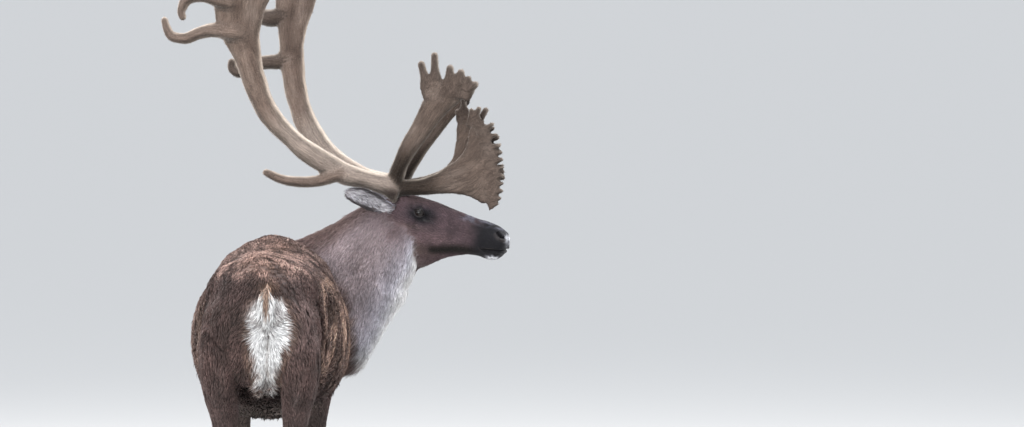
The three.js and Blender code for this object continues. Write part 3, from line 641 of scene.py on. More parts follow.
def muscles(p, n):
    """Height of muscle, bone and fold over the plain lofts, in millimetres."""
    d = np.zeros(len(p))
    up = smooth(n[:, 2], 0.3, 0.8)
    d += groove(p, [(-6, -570, 1100), (-18, -400, 1140), (-20, 0, 1130), (-22, 320, 1160)], 32, 6) * up
    d += bump(p, (-24, 330, 1150), (70, 110, 60), 6)
    for s in (-1, 1):
        m = -19
        d += bump(p, (m + s * 140, -335, 1095), (58, 75, 60), 13)
        d += bump(p, (4 + s * 84, -606, 1000), (40, 42, 46), 8)
        d += bump(p, (m + s * 165, -465, 1055), (52, 70, 48), -8)
        d += bump(p, (m + s * 205, -190, 965), (62, 88, 92), -15)
        d += groove(p, [(m + s * 150, 190, 1110), (m + s * 215, 180, 930), (m + s * 215, 190, 740)], 46, -9)
        d += groove(p, [(m + s * 110, 330, 1130), (m + s * 185, 390, 970), (m + s * 205, 440, 850)], 52, 8)
        d += groove(p, [(m + s * 200, 445, 860), (m + s * 198, 380, 780), (m + s * 190, 300, 720)], 34, 6)
        d += groove(p, [(m + s * 186, -306, 1040), (m + s * 205, -286, 990), (m + s * 212, -274, 930), (m + s * 205, -262, 860)], 17, -13)
        d += bump(p, (m + s * 186, -360, 930), (60, 60, 110), 7)
        # hock, heel tendon, knee and the tendons down the cannon
        d += groove(p, [(m + s * 108, -585, 650), (m + s * 106, -612, 560), (m + s * 104, -618, 520)], 18, 3)
        for x in (82, 134):
            d += groove(p, [(-14 + s * x, -560, 640), (-12 + s * x, -578, 560)], 16, -4)
        leg = [(q, y) for q, y in (("hind", -572), ("fore", 340))]
        for name, y in leg:
            for x in (88, 136):
                d += groove(p, [(-10 + s * x, y, 430), (-6 + s * x, y, 180)], 8, -2.2)
    d += groove(p, [(-190, -505, 1012), (-178, -580, 962), (-164, -612, 918), (-128, -634, 888), (-74, -645, 880)], 17, -12)
    d += bump(p, (-125, -606, 955), (62, 70, 48), 8)
    d += groove(p, [(-146, -606, 836), (-138, -596, 770), (-128, -590, 690)], 17, -8)
    d += groove(p, [(162, -520, 950), (150, -596, 896), (104, -632, 872)], 18, -8)
    d += bump(p, (112, -606, 950), (56, 70, 50), 6)
    d += groove(p, [(13, -650, 925), (12, -640, 880), (8, -600, 800), (4, -520, 745), (2, -440, 722)], 13, -10)
    d += bump(p, (14, -645, 940), (13, 24, 13), -13)
    return 1.25 * d


EYE_AXIS = unit(np.array([0.20, 1.0, 0.10]))
EYE_ALONG = unit(np.array([1.0, -0.20, -0.20]) - EYE_AXIS * (np.array([1.0, -0.20, -0.20]) @ EYE_AXIS))
EYE_UP = np.cross(EYE_ALONG, EYE_AXIS)
EYE_UP = EYE_UP * np.sign(EYE_UP[2])
LIDS = {"corner": 76.0, "upper": 49.0, "lower": 43.0}


def eye_place(q):
    """Angle outside the lids' opening (negative inside it), and distance from the eye's centre."""
    v = q - [EYE["x"], EYE["y"], EYE["z"]]
    a, r = v @ EYE_AXIS, np.linalg.norm(v, axis=1)
    az, el = np.degrees(np.arctan2(v @ EYE_ALONG, a)), np.degrees(np.arctan2(v @ EYE_UP, a))
    limit = np.where(el > 0, LIDS["upper"], LIDS["lower"]) * np.maximum(1 - (az / LIDS["corner"]) ** 2, 0)
    out = np.hypot(np.maximum(np.abs(az) - LIDS["corner"], 0), np.maximum(np.abs(el) - limit, 0))
    inside = np.minimum(limit - np.abs(el), LIDS["corner"] - np.abs(az))
    return np.where(inside > 0, -inside, out) + 200 * (r > 75), r, v, el


MOUTH = [(305, 0, -44), (299, 16, -44), (286, 32, -46), (263, 46, -52), (240, 47, -59), (214, 46, -66)]
NOSTRIL = [(268, 47, 12), (275, 48, 4), (285, 45, 0), (295, 38, 3)]
GLAND = [(26, 68, -15), (38, 64, -15), (53, 58, -11)]


def shifted(line, x=0, y=0, z=0):
    return [(a + x, b + y, c + z) for a, b, c in line]


def sculpt_head(h, n):
    """Moves of the head's points, in the head's own frame."""
    side = np.where(h[:, 1] < 0, -1.0, 1.0)
    q = h * np.stack([np.ones(len(h)), side, np.ones(len(h))], 1)
    d = np.zeros(len(h))
    d += groove(q, [(-70, 72, -22), (-30, 75, -34), (10, 72, -45), (45, 62, -50)], 13, 4.5)
    d += groove(q, [(-34, 64, 12), (-16, 66, 25), (8, 65, 26), (28, 59, 16)], 9, 5.5)
    d += groove(q, [(45, 58, -52), (80, 52, -56), (120, 46, -60), (160, 44, -62)], 13, 3)
    d += bump(q, (52, 60, -14), (22, 16, 13), -4)
    d += bump(q, (-62, 60, 18), (26, 20, 18), -4)
    d += bump(q, (-25, 70, -105), (48, 32, 52), 6)
    d += groove(q, [(-80, 66, -50), (-72, 70, -105), (-44, 62, -160)], 13, -6)
    d += groove(q, [(70, 50, -104), (150, 45, -80), (215, 44, -72)], 9, -3)
    d += groove(q, [(60, 50, -80), (110, 48, -72), (160, 45, -66)], 14, 2)
    d += bump(q, (258, 18, -82), (26, 26, 18), 3)
    d += bump(q, (262, 42, -24), (26, 16, 22), 3.5)
    d += bump(q, (120, 0, -140), (80, 14, 20), -4)
    d += groove(q, [(150, 22, 32), (220, 18, 30)], 12, 1.5)
    d += bump(q, (60, 0, 44), (60, 22, 20), -3)
    d += bump(q, (-82, 47, 44), (30, 24, 24), 8)
    d += groove(q, MOUTH, 3.0, -8)
    d += groove(q, shifted(MOUTH, z=7), 5, 2.4) + groove(q, shifted(MOUTH, x=-3, z=-8), 5, 1.8)
    d += groove(q, [(262, 44, 15), (267, 49, 2), (280, 49, -8), (294, 40, -7), (302, 28, 0)], 4.5, 3.2)
    d += groove(q, [(262, 40, 22), (280, 40, 18), (296, 30, 12)], 6, 2.4)
    d += groove(q, [(306, 0, -4), (308, 0, -22), (306, 0, -40)], 3, -2.4)
    d += groove(q, GLAND, 2.8, -4.5) + groove(q, shifted(GLAND, z=-6), 3.4, 1.8) + groove(q, shifted(GLAND, z=6), 3.4, 1.4)
    move = n * d[:, None]
    pit, _ = to_line(q, laid(q, NOSTRIL, 3.0))
    inward = np.stack([np.full(len(h), -0.5), -0.85 * side, np.full(len(h), -0.12)], 1)
    move += inward * (13 * np.exp(-(pit / 4.6) ** 2))[:, None]
    out = h + move
    # the lids close round the eyeball
    q = out * np.stack([np.ones(len(h)), side, np.ones(len(h))], 1)
    a, r, v, el = eye_place(q)
    target = (14.2 + 4.6 * smooth(a, -3.5, 1.5) + 1.9 * smooth(a, 2, 11) - 1.6 * smooth(a, 15, 22)
              + 1.7 * smooth(a, 22, 34))
    w = 1 - smooth(a, 26, 56)
    r2 = r + w * (target - r)
    q = q + np.where((w > 0)[:, None], v * (r2 / np.maximum(r, 1e-6) - 1)[:, None], 0)
    return q * np.stack([np.ones(len(h)), side, np.ones(len(h))], 1)


def ear_frame(side):
    base = H(EAR["base"][0], -side * EAR["base"][1], EAR["base"][2])
    tip = H(EAR["tip"][0], -side * EAR["tip"][1], EAR["tip"][2])
    axis, length = unit(tip - base), np.linalg.norm(tip - base)
    open_ = LEFT * side - 0.25 * CROWN - 0.2 * FORWARD
    open_ = unit(open_ - axis * (open_ @ axis))
    return base, axis, length, open_, unit(np.cross(axis, open_))


def ear_mesh(side, n=56, k=22):
    """A thin cupped leaf; also each point's place: along, across, and 1 on the inner face."""
    base, axis, length, open_, across = ear_frame(side)
    t, half, cup, thick = resample(EAR["rows"], n, lambda r: stack(r[0] * length, r[1] * 0.3, r[2] * 0.3)).T
    half, thick = np.maximum(half - 5 * smooth(t, 0, 0.4), 2.2), np.maximum(thick * (0.8 - 0.35 * smooth(t, 0, 0.3)), 2.6)
    t = np.where(t > 0.9, t - 0.04 * smooth(t, 0.9, 1), t)
    u = np.concatenate([np.sin(np.linspace(-np.pi / 2, np.pi / 2, k)), np.sin(np.linspace(np.pi / 2, -np.pi / 2, k))[1:-1]])
    inner = np.concatenate([np.zeros(k), np.ones(k - 2)])
    rim = np.sqrt(np.maximum(1 - u ** 2, 0))
    T, U, I = t[:, None], u[None], inner[None]
    lift = cup[:, None] * U ** 2 + thick[:, None] * np.where(I > 0, 0.45, -0.55) * (0.35 + 0.65 * rim) * np.where(np.abs(U) > 0.9999, 0, 1)
    lift = lift + 1.0 * np.sin(U * 9) * I * smooth(T, 0.1, 0.3) * (1 - smooth(T, 0.6, 0.9))
    sweep = -9 * smooth(T, 0.5, 1.0) ** 2 + 5 * np.sin(np.pi * np.clip(T, 0, 1))
    co = (base + axis * (T * length)[..., None] + across * (U * half[:, None] + sweep)[..., None] + open_ * lift[..., None])
    where = np.stack([np.broadcast_to(x, lift.shape) for x in (T, U, I)], -1).reshape(-1, 3)
    return loft(co), np.concatenate([where, where[:1] * [1, 0, 1], where[-1:] * [1, 0, 1]])


def refine(ob, inside):
    """Splits the faces whose middle is inside, one level."""
    bm = bmesh.new()
    bm.from_mesh(ob.data)
    mid = np.array([f.calc_center_median()[:] for f in bm.faces]) * 1000 + [ORIGIN[0], ORIGIN[1], 0]
    chosen = inside(in_head(mid))
    marks = [False] * len(bm.edges)
    bm.edges.index_update()
    for f, c in zip(bm.faces, chosen.tolist()):
        if c:
            for e in f.edges:
                marks[e.index] = True
    bmesh.ops.subdivide_edges(bm, edges=[e for e, m in zip(bm.edges, marks) if m], cuts=1, use_grid_fill=True)
    bm.to_mesh(ob.data)
    bm.free()


def detail_area(h):
    """Muzzle, mouth, eyes and glands."""
    q = np.abs(h[:, 1])
    eye = np.linalg.norm(np.stack([h[:, 0] - 10, q - 62, h[:, 2] + 4], 1), axis=1) < 52
    return ((h[:, 0] > 205) | eye) & HEAD_BOX(h)


def fine_area(h):
    q = np.stack([h[:, 0], np.abs(h[:, 1]), h[:, 2]], 1)
    eye = np.linalg.norm(q - [0, 66, 0], axis=1) < 29
    near = np.minimum(to_line(q, NOSTRIL)[0] - 5, np.minimum(to_line(q, MOUTH)[0], to_line(q, GLAND)[0] + 1)) < 9
    return (eye | near) & HEAD_BOX(h)


def grown_out(p, n, e):
    """How far the smoothed skin moves out so that its coat reaches the model's outline."""
    outline = np.concatenate([rings.reshape(-1, 3) for rings in (
        trunk_rings(inset=False), neck_rings(inset=False), *[leg_rings(name, inset=False) for name in LEGS])])
    tree = KDTree(len(p))
    for i, c in enumerate(p):
        tree.insert(c, i)
    tree.balance()
    near = np.array([tree.find(c)[1] for c in outline])
    outline = outline[((outline - p[near]) * n[near]).sum(1) > 1]
    tree = KDTree(len(outline))
    for i, c in enumerate(outline):
        tree.insert(c, i)
    tree.balance()
    near = np.array([tree.find(c)[1] for c in p])
    gap = ((outline[near] - p) * n).sum(1)
    depth = 3.0 + 6.5 * smooth(p[:, 2], 420, 760)
    push = (np.clip(gap - depth, 0, 30) * smooth(p[:, 2], 380, 480))[:, None]
    for _ in range(40):
        push = 0.5 * push + 0.5 * around(push, e, len(p))
    return push[:, 0]


def build_skin():
    parts = [loft(trunk_rings()), loft(neck_rings()), loft(head_rings()), loft(tail_rings()), *belly_parts()]
    parts += [loft(leg_rings(n)) for n in LEGS]
    ob = voxel_union(parts, SKIN_VOXEL, "skin")
    me = ob.data
    p, e = points(me), edges(me)
    h = in_head(p)
    head = head_share(h)
    high = smooth(p[:, 2], 420, 640) * (1 - head)
    tail = np.exp(-((p - [TAIL_X, -640, 1010]) / [45, 45, 90]) ** 2 @ np.ones(3))
    p = relax(p, e, 0.5 * high * (1 - 0.9 * np.clip(tail * 1.4, 0, 1)), 80)
    p = relax(p, e, 0.5 * (0.35 + 0.65 * head), 8)
    t = triangles(me)
    n = vertex_normals(p, t)
    p = p + n * (grown_out(p, n, e) * (1 - head))[:, None]
    n = vertex_normals(p, t)
    p = p + n * (muscles(p, n) * (1 - head))[:, None]
    p = relax(p, e, 0.5 * high, 3)
    set_points(me, p)
    refine(ob, lambda h: HEAD_BOX(h))
    for _ in range(1):
        p, e = points(me), edges(me)
        p = relax(p, e, 0.5 * head_share(in_head(p)), 6)
        set_points(me, p)
    refine(ob, detail_area)
    p, e = points(me), edges(me)
    set_points(me, relax(p, e, 0.5 * detail_area(in_head(p)), 3))
    refine(ob, fine_area)
    p, e = points(me), edges(me)
    p = relax(p, e, 0.5 * detail_area(in_head(p)), 2)
    n = vertex_normals(p, triangles(me))
    h = in_head(p)
    near = head_share(h) > 0.01
    moved = sculpt_head(h[near], n[near] @ HEAD_FRAME.T)
    share = head_share(h[near])[:, None]
    p[near] = p[near] * (1 - share) + H(*moved.T) * share
    p = relax(p, e, 0.3 * fine_area(in_head(p)), 1)
    set_points(me, p)
    flesh = len(me.vertices)
    bm = bmesh.new()
    bm.from_mesh(me)
    places = []
    for side in (-1, 1):
        (co, faces), where = ear_mesh(side)
        ear = mesh_object("ear_tmp", co, faces)
        bm.from_mesh(ear.data)
        drop(ear)
        places.append(where)
    bm.to_mesh(me)
    bm.free()
    me.update()
    return ob, flesh, places


SKIN_VOXEL = 7.2
skin, FLESH, EAR_PLACES = build_skin()
SKIN = skin.data
P = points(SKIN)
E = edges(SKIN)
T = triangles(SKIN)
N = vertex_normals(P, T)
NV = len(P)
EARS = len(EAR_PLACES[0])
HL = in_head(P)


# ---------------------------------------------------------------- what each point of the skin carries
TRUNK_I, NECK_I, HEAD_I, LEG_I, TAIL_I, EAR_I = 0, 1, 2, slice(3, 7), 7, 8
SPOT = np.array([14.0, -645, 941])        # under the tail, where the white hair parts


def part_shares():
    own = np.zeros((NV, len(PARTS) + 1))
    own[np.arange(FLESH), label(P[:FLESH])] = 1
    own[FLESH:, EAR_I] = 1
    hard = own.argmax(1)
    for _ in range(10):
        own = 0.4 * own + 0.6 * around(own, E, NV)
    return own / np.maximum(own.sum(1, keepdims=True), 1e-9), hard


SHARE, HARD = part_shares()
NECK_T, NECK_S, NECK_U = np.zeros((3, NV))
LIE_NECK = np.tile(np.array([0, -1.0, -0.4]), (NV, 1))
_near = SHARE[:, NECK_I] > 0.003
NECK_T[_near], NECK_S[_near], NECK_U[_near], _al, _si, _up = neck_place(P[_near])
LIE_NECK[_near] = -_al * 0.75 + np.array([0, 0, -1.0]) * (0.45 + 0.8 * smooth(-NECK_U[_near], -0.2, 0.9))[:, None]
EAR_T, EAR_U, EAR_IN, EAR_SIDE = np.zeros((4, NV))
for _k, _where in enumerate(EAR_PLACES):
    _s = slice(FLESH + _k * EARS, FLESH + (_k + 1) * EARS)
    EAR_T[_s], EAR_U[_s], EAR_IN[_s] = _where.T
    EAR_SIDE[_s] = (-1, 1)[_k]


def lie_of_coat():
    """Which way the hair lies at each point, along the surface."""
    x, y, z = P.T
    sx = np.clip((x - 8) / 70, -1, 1)
    down = np.array([0, 0, -1.0])
    top = smooth(N[:, 2], 0.25, 0.9)
    side = stack(0.12 * sx, -1, -(0.45 + 0.95 * smooth(y, -50, 380) + 0.5 * smooth(-y, 250, 500)))
    back = stack(0.34 * sx * smooth(-y, 100, 480), -1, -0.1)
    trunk = unit(side) * (1 - top)[:, None] + unit(back) * top[:, None]
    rear = (smooth(-N[:, 1], 0.25, 0.75) * smooth(-y, 380, 520))[:, None]
    trunk = trunk * (1 - rear) + unit(stack(0.30 * sx, -0.2, -1)) * rear
    from_spot = P - SPOT
    r = np.linalg.norm(from_spot * [1, 0.6, 1], axis=1)
    whorl = (np.exp(-(r / 78) ** 2) * smooth(-y, 400, 520))[:, None] * (0.35 + 0.65 * smooth(np.abs(x - SPOT[0]), 4, 30))[:, None]
    trunk = trunk * (1 - whorl) + unit(from_spot * [1.0, 0, 0.8]) * whorl * 1.3
    leg = unit(stack(0.10 * sx, -0.16 - 0.2 * smooth(-y, 450, 600) * smooth(z, 500, 700), -1))
    leg = leg * (1 - whorl) + unit(from_spot * [1.0, 0, 0.8]) * whorl * 1.3
    hx, hy, hz = HL.T
    s = np.clip(hy / 40, -1, 1)
    cheek = smooth(-hz, 20, 120)
    head = stack(np.full(NV, -1.0), 0.10 * s, 0.10 - 0.55 * cheek * smooth(-hx, -140, 40))
    q = HL * stack(1, np.where(hy < 0, -1, 1), 1)
    a, er, v, el = eye_place(q)
    ring_ = np.exp(-(np.maximum(a, 0) / 30) ** 2)
    head = head + stack(0, 0, 0.8 * np.sign(el)) * ring_[:, None]
    head = unit(head) @ HEAD_FRAME
    tail = unit(stack(np.clip((x - TAIL_X) / 16, -1, 1) * 0.42, -0.25, -1))
    ear = np.zeros((NV, 3))
    for side_ in (-1, 1):
        base, axis, length, open_, across = ear_frame(side_)
        m = EAR_SIDE == side_
        ear[m] = axis + across * (EAR_U[m] * np.where(EAR_IN[m] > 0, -0.5, 0.55))[:, None]
    legs = SHARE[:, LEG_I].sum(1)
    lie = (trunk * SHARE[:, [TRUNK_I]] + unit(LIE_NECK) * SHARE[:, [NECK_I]] + head * SHARE[:, [HEAD_I]]
           + leg * legs[:, None] + tail * SHARE[:, [TAIL_I]] + unit(ear + 1e-9) * SHARE[:, [EAR_I]])
    for _ in range(8):
        lie = lie - N * (lie * N).sum(1, keepdims=True)
        lie = unit(lie) * 0.4 + 0.6 * around(lie, E, NV)
    return unit(lie - N * (lie * N).sum(1, keepdims=True))


LIE = lie_of_coat()


def strips(f, size, seed):
    """Noise drawn out along the hair, in each part's own direction."""
    p, n, w = f["p"], f["n"], f["share"]

    def drawn(q, d, k=0.09):
        d = np.asarray(d, float) / np.linalg.norm(d)
        return noise(q - (1 - k) * (q @ d)[:, None] * d, size, seed)

    top = smooth(n[:, 2], 0.3, 0.85)
    rear = smooth(-n[:, 1], 0.3, 0.7) * smooth(-p[:, 1], 380, 520)
    body = drawn(p, (0, -0.55, -0.83)) * (1 - top) + drawn(p, (0, 1, 0)) * top
    body = body * (1 - rear) + drawn(p, (0.1, 0, 1), 0.14) * rear
    neck = noise(np.stack([f["neck_t"] * 60, f["neck_s"] * 150, f["neck_u"] * 190], 1), size, seed)
    head = drawn(in_head(p) * stack(1, 1, 1), (1, 0, -0.12), 0.16)
    leg = drawn(p, (0, 0, 1), 0.12)
    ear = drawn(in_head(p), (-0.85, 0.4, 0.1), 0.2)
    return (body * w[:, TRUNK_I] + neck * w[:, NECK_I] + head * w[:, HEAD_I] + leg * (w[:, LEG_I].sum(1) + w[:, TAIL_I])
            + ear * w[:, EAR_I])


def white_patch(p):
    """0 to 1 over the white hair below the tail, and how near its edge a point is."""
    x, y, z = p.T
    level = [690, 715, 742, 790, 832, 880, 938, 985, 1025, 1046, 1060]
    half = np.interp(z, level, [-12, 2, 12, 20, 28, 44, 52, 44, 42, 34, -22])
    cx = np.interp(z, level, [4, 4, 5, 6, 8, 14, 21, 20, 18, 17, 16])
    d = np.abs(x - cx) - half + 9 * noise(p * [1, 0.4, 0.8], 14, 5) + 7 * noise(p * [1, 0.4, 0.9], 6, 6)
    back = smooth(-y, 400, 470)
    return (1 - smooth(d, -16, 16)) * back, np.exp(-(d / 22) ** 2) * back


def mix(a, b, t):
    return a + (np.asarray(b, float) - a) * np.reshape(t, (-1, 1))


def colours(f):
    """Root and tip colour of the coat (0 to 255) at each place."""
    p, n, w = f["p"], f["n"], f["share"]
    x, y, z = p.T
    h = in_head(p)
    hx, hy, hz = h[:, 0], np.abs(h[:, 1]), h[:, 2]
    k = len(p)
    broad, mid_, fine = noise(p, 120, 1), noise(p, 38, 2), noise(p, 9, 3)
    line, thin = strips(f, 15, 8), strips(f, 5, 9)

    # trunk and thighs
    root, tip = np.tile([58.0, 45, 42], (k, 1)), np.tile([114.0, 92, 88], (k, 1))
    tip = mix(tip, (84, 70, 66), 0.55 * smooth(-mid_ - 0.4 * broad, -0.1, 0.7))
    # painted highlight: the hair tips, and less the roots, paled on the upward-facing top of the back, where the light
    # from above falls
    top = smooth(n[:, 2], 0.12, 0.55) * smooth(z + 16 * mid_ + 12 * fine, 1082, 1134)
    tip = mix(tip, (92, 76, 74), 0.45 * smooth(z, 1010, 1050) * (1 - smooth(z, 1085, 1110)) * smooth(-y, 380, 480))
    tip = mix(tip, (232, 194, 180), 0.86 * top * smooth(mid_ + 0.6 * line, -0.8, 0.3))
    root = mix(root, (104, 80, 72), 0.6 * top)
    tip = mix(tip, (228, 196, 180), 0.6 * top * smooth(thin + 0.5 * fine, 0.1, 0.8))
    ridge = smooth(z, 1080, 1130) * np.exp(-((x + 14) / 70) ** 2)
    tip, root = mix(tip, (182, 142, 122), 0.3 * ridge), mix(root, (84, 62, 52), 0.5 * ridge)
    long_line, long_thin = strips(f, 20, 14), strips(f, 6, 15)
    tip = mix(tip, (166, 140, 136), 0.65 * smooth(x, 60, 110) * smooth(-y, 380, 480) * smooth(z, 860, 920) * (1 - smooth(z, 1020, 1060)))
    flank = (0.45 + 0.55 * smooth(x, -60, 60)) * smooth(y, -330, -230) * (1 - smooth(y, 150, 330)) * smooth(z, 700, 800) * (1 - smooth(z, 1050, 1110)) * smooth(np.abs(x + 15), 110, 170)
    tip = mix(tip, (238, 200, 176), 0.85 * flank * smooth(long_line + 0.8 * long_thin, -0.55, 0.5))
    root = mix(root, (132, 106, 92), 0.75 * flank)
    tip = mix(tip, (74, 60, 54), 0.6 * flank * smooth(-long_line - 0.7 * long_thin, 0.25, 0.9))
    shoulder = smooth(y, 200, 380) * smooth(z, 720, 860)
    tip = mix(tip, (158, 130, 122), 0.7 * shoulder)
    tip = mix(tip, (246, 216, 202), 0.85 * shoulder * smooth(0.8 * long_thin + 0.6 * long_line + 0.3 * thin, -0.15, 0.6))
    root = mix(root, (84, 64, 60), 0.75 * shoulder)
    belly = smooth(-n[:, 2], 0.25, 0.8) * smooth(740 - z, 0, 80) * (1 - w[:, LEG_I].sum(1) * smooth(600 - z, 0, 60))
    tip, root = mix(tip, (178, 168, 160), 0.7 * belly), mix(root, (104, 94, 88), 0.7 * belly)
    low = smooth(900 - z, 0, 220)
    tip = mix(tip, (102, 86, 84), 0.5 * low * (1 - belly))
    tip = mix(tip, (138, 126, 124), 0.5 * low * smooth(thin + line, 0.3, 1.1) * (1 - belly))

    # legs: darker below, a pale ring over the claws
    leg = w[:, LEG_I].sum(1) * smooth(700 - z, 0, 160)
    root, tip = mix(root, (44, 38, 37), leg), mix(tip, (84, 74, 70), leg)
    tip = mix(tip, (112, 96, 84), 0.5 * leg * smooth(thin, 0, 0.6))
    inner = leg * smooth(n[:, 0] * -np.sign(x + 10), 0.2, 0.8)
    tip, root = mix(tip, (132, 122, 114), 0.55 * inner), mix(root, (80, 72, 68), 0.5 * inner)
    sock = np.exp(-((z - 112 + 10 * mid_) / 34) ** 2) * w[:, LEG_I].sum(1)
    tip, root = mix(tip, (206, 200, 194), 0.85 * sock), mix(root, (150, 142, 136), 0.8 * sock)

    # the white below the tail, the tail with its warm stripe, and the dark spot
    patch, edge = white_patch(p)
    body = w[:, TRUNK_I] + w[:, LEG_I].sum(1)
    tip, root = mix(tip, (158, 130, 112), 0.75 * edge * (1 - patch) * body), mix(root, (84, 66, 58), 0.6 * edge * body)
    tip, root = mix(tip, (252, 252, 252), patch * body), mix(root, (246, 246, 247), patch * body)
    tip = mix(tip, (206, 186, 168), 0.55 * patch * body * smooth(-noise(p * [1, 0.5, 0.25], 9, 12), 0.1, 0.7) * smooth(880 - z, 0, 90))
    over = np.exp(-(((x - TAIL_X) / 30) ** 2 + ((z - 1078) / 16) ** 2)) * smooth(-y, 480, 560)
    tip, root = mix(tip, (166, 128, 104), 0.6 * over), mix(root, (110, 84, 68), 0.5 * over)
    tail = w[:, TAIL_I]
    t_tip, t_root = np.tile([253.0, 253, 253], (k, 1)), np.tile([246.0, 245, 245], (k, 1))
    stripe = 0.9 * (1 - smooth(np.abs(x - TAIL_X + 1), 2, 5 + 6 * smooth(z, 1000, 1070))) * smooth(z, 992, 1020) + 0.8 * smooth(z, 1076, 1092) * (1 - smooth(np.abs(x - TAIL_X), 8, 18))
    t_tip, t_root = mix(t_tip, (178, 138, 112), 0.85 * np.clip(stripe, 0, 1)), mix(t_root, (132, 100, 80), 0.85 * np.clip(stripe, 0, 1))
    tip, root = mix(tip, t_tip, tail), mix(root, t_root, tail)
    dark = np.exp(-(((x - SPOT[0]) / 9) ** 2 + ((z - SPOT[2]) / 9) ** 2)) * smooth(-y, 560, 600)
    tip, root = mix(tip, (64, 52, 46), 0.9 * dark), mix(root, (28, 22, 20), dark)
    # painted shadow: a thin grey line down the groove below the dark spot, in the white hair
    seam_shadow = np.exp(-((x - np.interp(z, [720, 800, 880, 925], [2, 8, 12, 13])) / 3.5) ** 2) * smooth(928 - z, 0, 12) * smooth(z, 700, 740) * smooth(-y, 430, 480)
    tip, root = mix(tip, (150, 140, 134), 0.5 * seam_shadow), mix(root, (110, 100, 95), 0.6 * seam_shadow)

    # neck: grey-brown above, paler and bluer below, a dark line of mane
    t, u = f["neck_t"], f["neck_u"]
    n_root, n_tip = np.tile([150.0, 137, 141], (k, 1)), np.tile([194.0, 179, 185], (k, 1))
    under = smooth(-u, -0.25, 0.75)
    n_tip, n_root = mix(n_tip, (212, 214, 228), 0.9 * under), mix(n_root, (170, 171, 184), 0.85 * under)
    white_ = smooth(-u, 0.42, 0.8)
    n_tip, n_root = mix(n_tip, (250, 250, 250), 0.95 * white_), mix(n_root, (226, 224, 224), 0.9 * white_)
    n_tip = mix(n_tip, (204, 182, 180), 0.55 * (1 - under) * smooth(t, 0.1, 0.4))
    n_tip = mix(n_tip, (150, 132, 130), 0.35 * smooth(-line - 0.3 * thin, 0.1, 0.8) * (1 - 0.6 * under))
    mane = smooth(u, 0.62, 0.92) * (1 - 0.5 * smooth(t, 0.75, 1))
    n_tip, n_root = mix(n_tip, (140, 112, 106), 0.8 * mane), mix(n_root, (72, 56, 52), 0.8 * mane)
    n_tip = mix(n_tip, (186, 168, 158), 0.5 * mane * smooth(thin, 0.3, 0.8))
    near_head = smooth(t + 0.05 * mid_, 0.82, 1.0) * smooth(u, -0.6, 0.2)
    n_tip, n_root = mix(n_tip, (124, 104, 106), 0.8 * near_head), mix(n_root, (66, 54, 56), 0.8 * near_head)
    edge_x = np.interp(z, [776, 872, 968, 1128, 1208, 1290], [243, 234, 202, 163, 132, 95])
    neck = np.maximum(smooth(x - edge_x + 16 * line, -20, 20), smooth(y, 600, 680))
    neck = neck * (w[:, NECK_I] + (w[:, TRUNK_I] + w[:, LEG_I].sum(1) * smooth(z, 740, 860)) * (hx < -60))
    neck = np.maximum(neck, w[:, NECK_I] * smooth(t, 0.45, 0.6) * (x > 0))
    neck = np.clip(neck, 0, 1)
    tip, root = mix(tip, n_tip, neck), mix(root, n_root, neck)

    # head
    d_root, d_tip = np.tile([46.0, 36, 39], (k, 1)), np.tile([104.0, 85, 90], (k, 1))
    d_tip = mix(d_tip, (142, 118, 120), 0.7 * np.exp(-(((hx - 75) / 60) ** 2 + ((hz + 62) / 26) ** 2)))
    d_tip = mix(d_tip, (172, 148, 148), 0.85 * np.exp(-(((hx + 30) / 42) ** 2 + ((hz + 90) / 38) ** 2)))
    d_tip = mix(d_tip, (136, 116, 98), 0.45 * np.exp(-(((hx - 20) / 60) ** 2 + ((hz + 118) / 26) ** 2)))
    d_tip = mix(d_tip, (140, 116, 116), 0.6 * np.exp(-(((hx + 20) / 50) ** 2 + ((hz - 34) / 16) ** 2)))
    band = np.exp(-(to_line(np.stack([hx, hz], 1), [(70, -106), (140, -84), (215, -72)])[0] / 13) ** 2)
    d_tip, d_root = mix(d_tip, (24, 20, 17), 0.95 * band), mix(d_root, (13, 10, 9), 0.92 * band)
    dusk = np.exp(-(((hx - 12) / 42) ** 2 + ((hz - EYE["z"] + 4) / 25) ** 2) ** 1.3 + 0.25 * noise(p, 16, 29)) * smooth(hy, 30, 50)
    d_tip, d_root = mix(d_tip, (20, 19, 27), np.clip(1.25 * dusk, 0, 0.98)), mix(d_root, (8, 8, 11), np.clip(1.25 * dusk, 0, 0.98))
    d_tip = mix(d_tip, (112, 98, 96), 0.6 * np.exp(-(((hx - 5) / 36) ** 2 + ((hz + 46) / 9) ** 2)))
    d_tip = d_tip * (1.08 + 0.15 * noise(p, 34, 26) + 0.13 * noise(p, 12, 27))[:, None]
    muzzle = smooth(hx + 8 * noise(p, 16, 25), 172, 222)
    d_tip, d_root = mix(d_tip, (20, 19, 28), 0.96 * muzzle), mix(d_root, (7, 7, 10), 0.96 * muzzle)
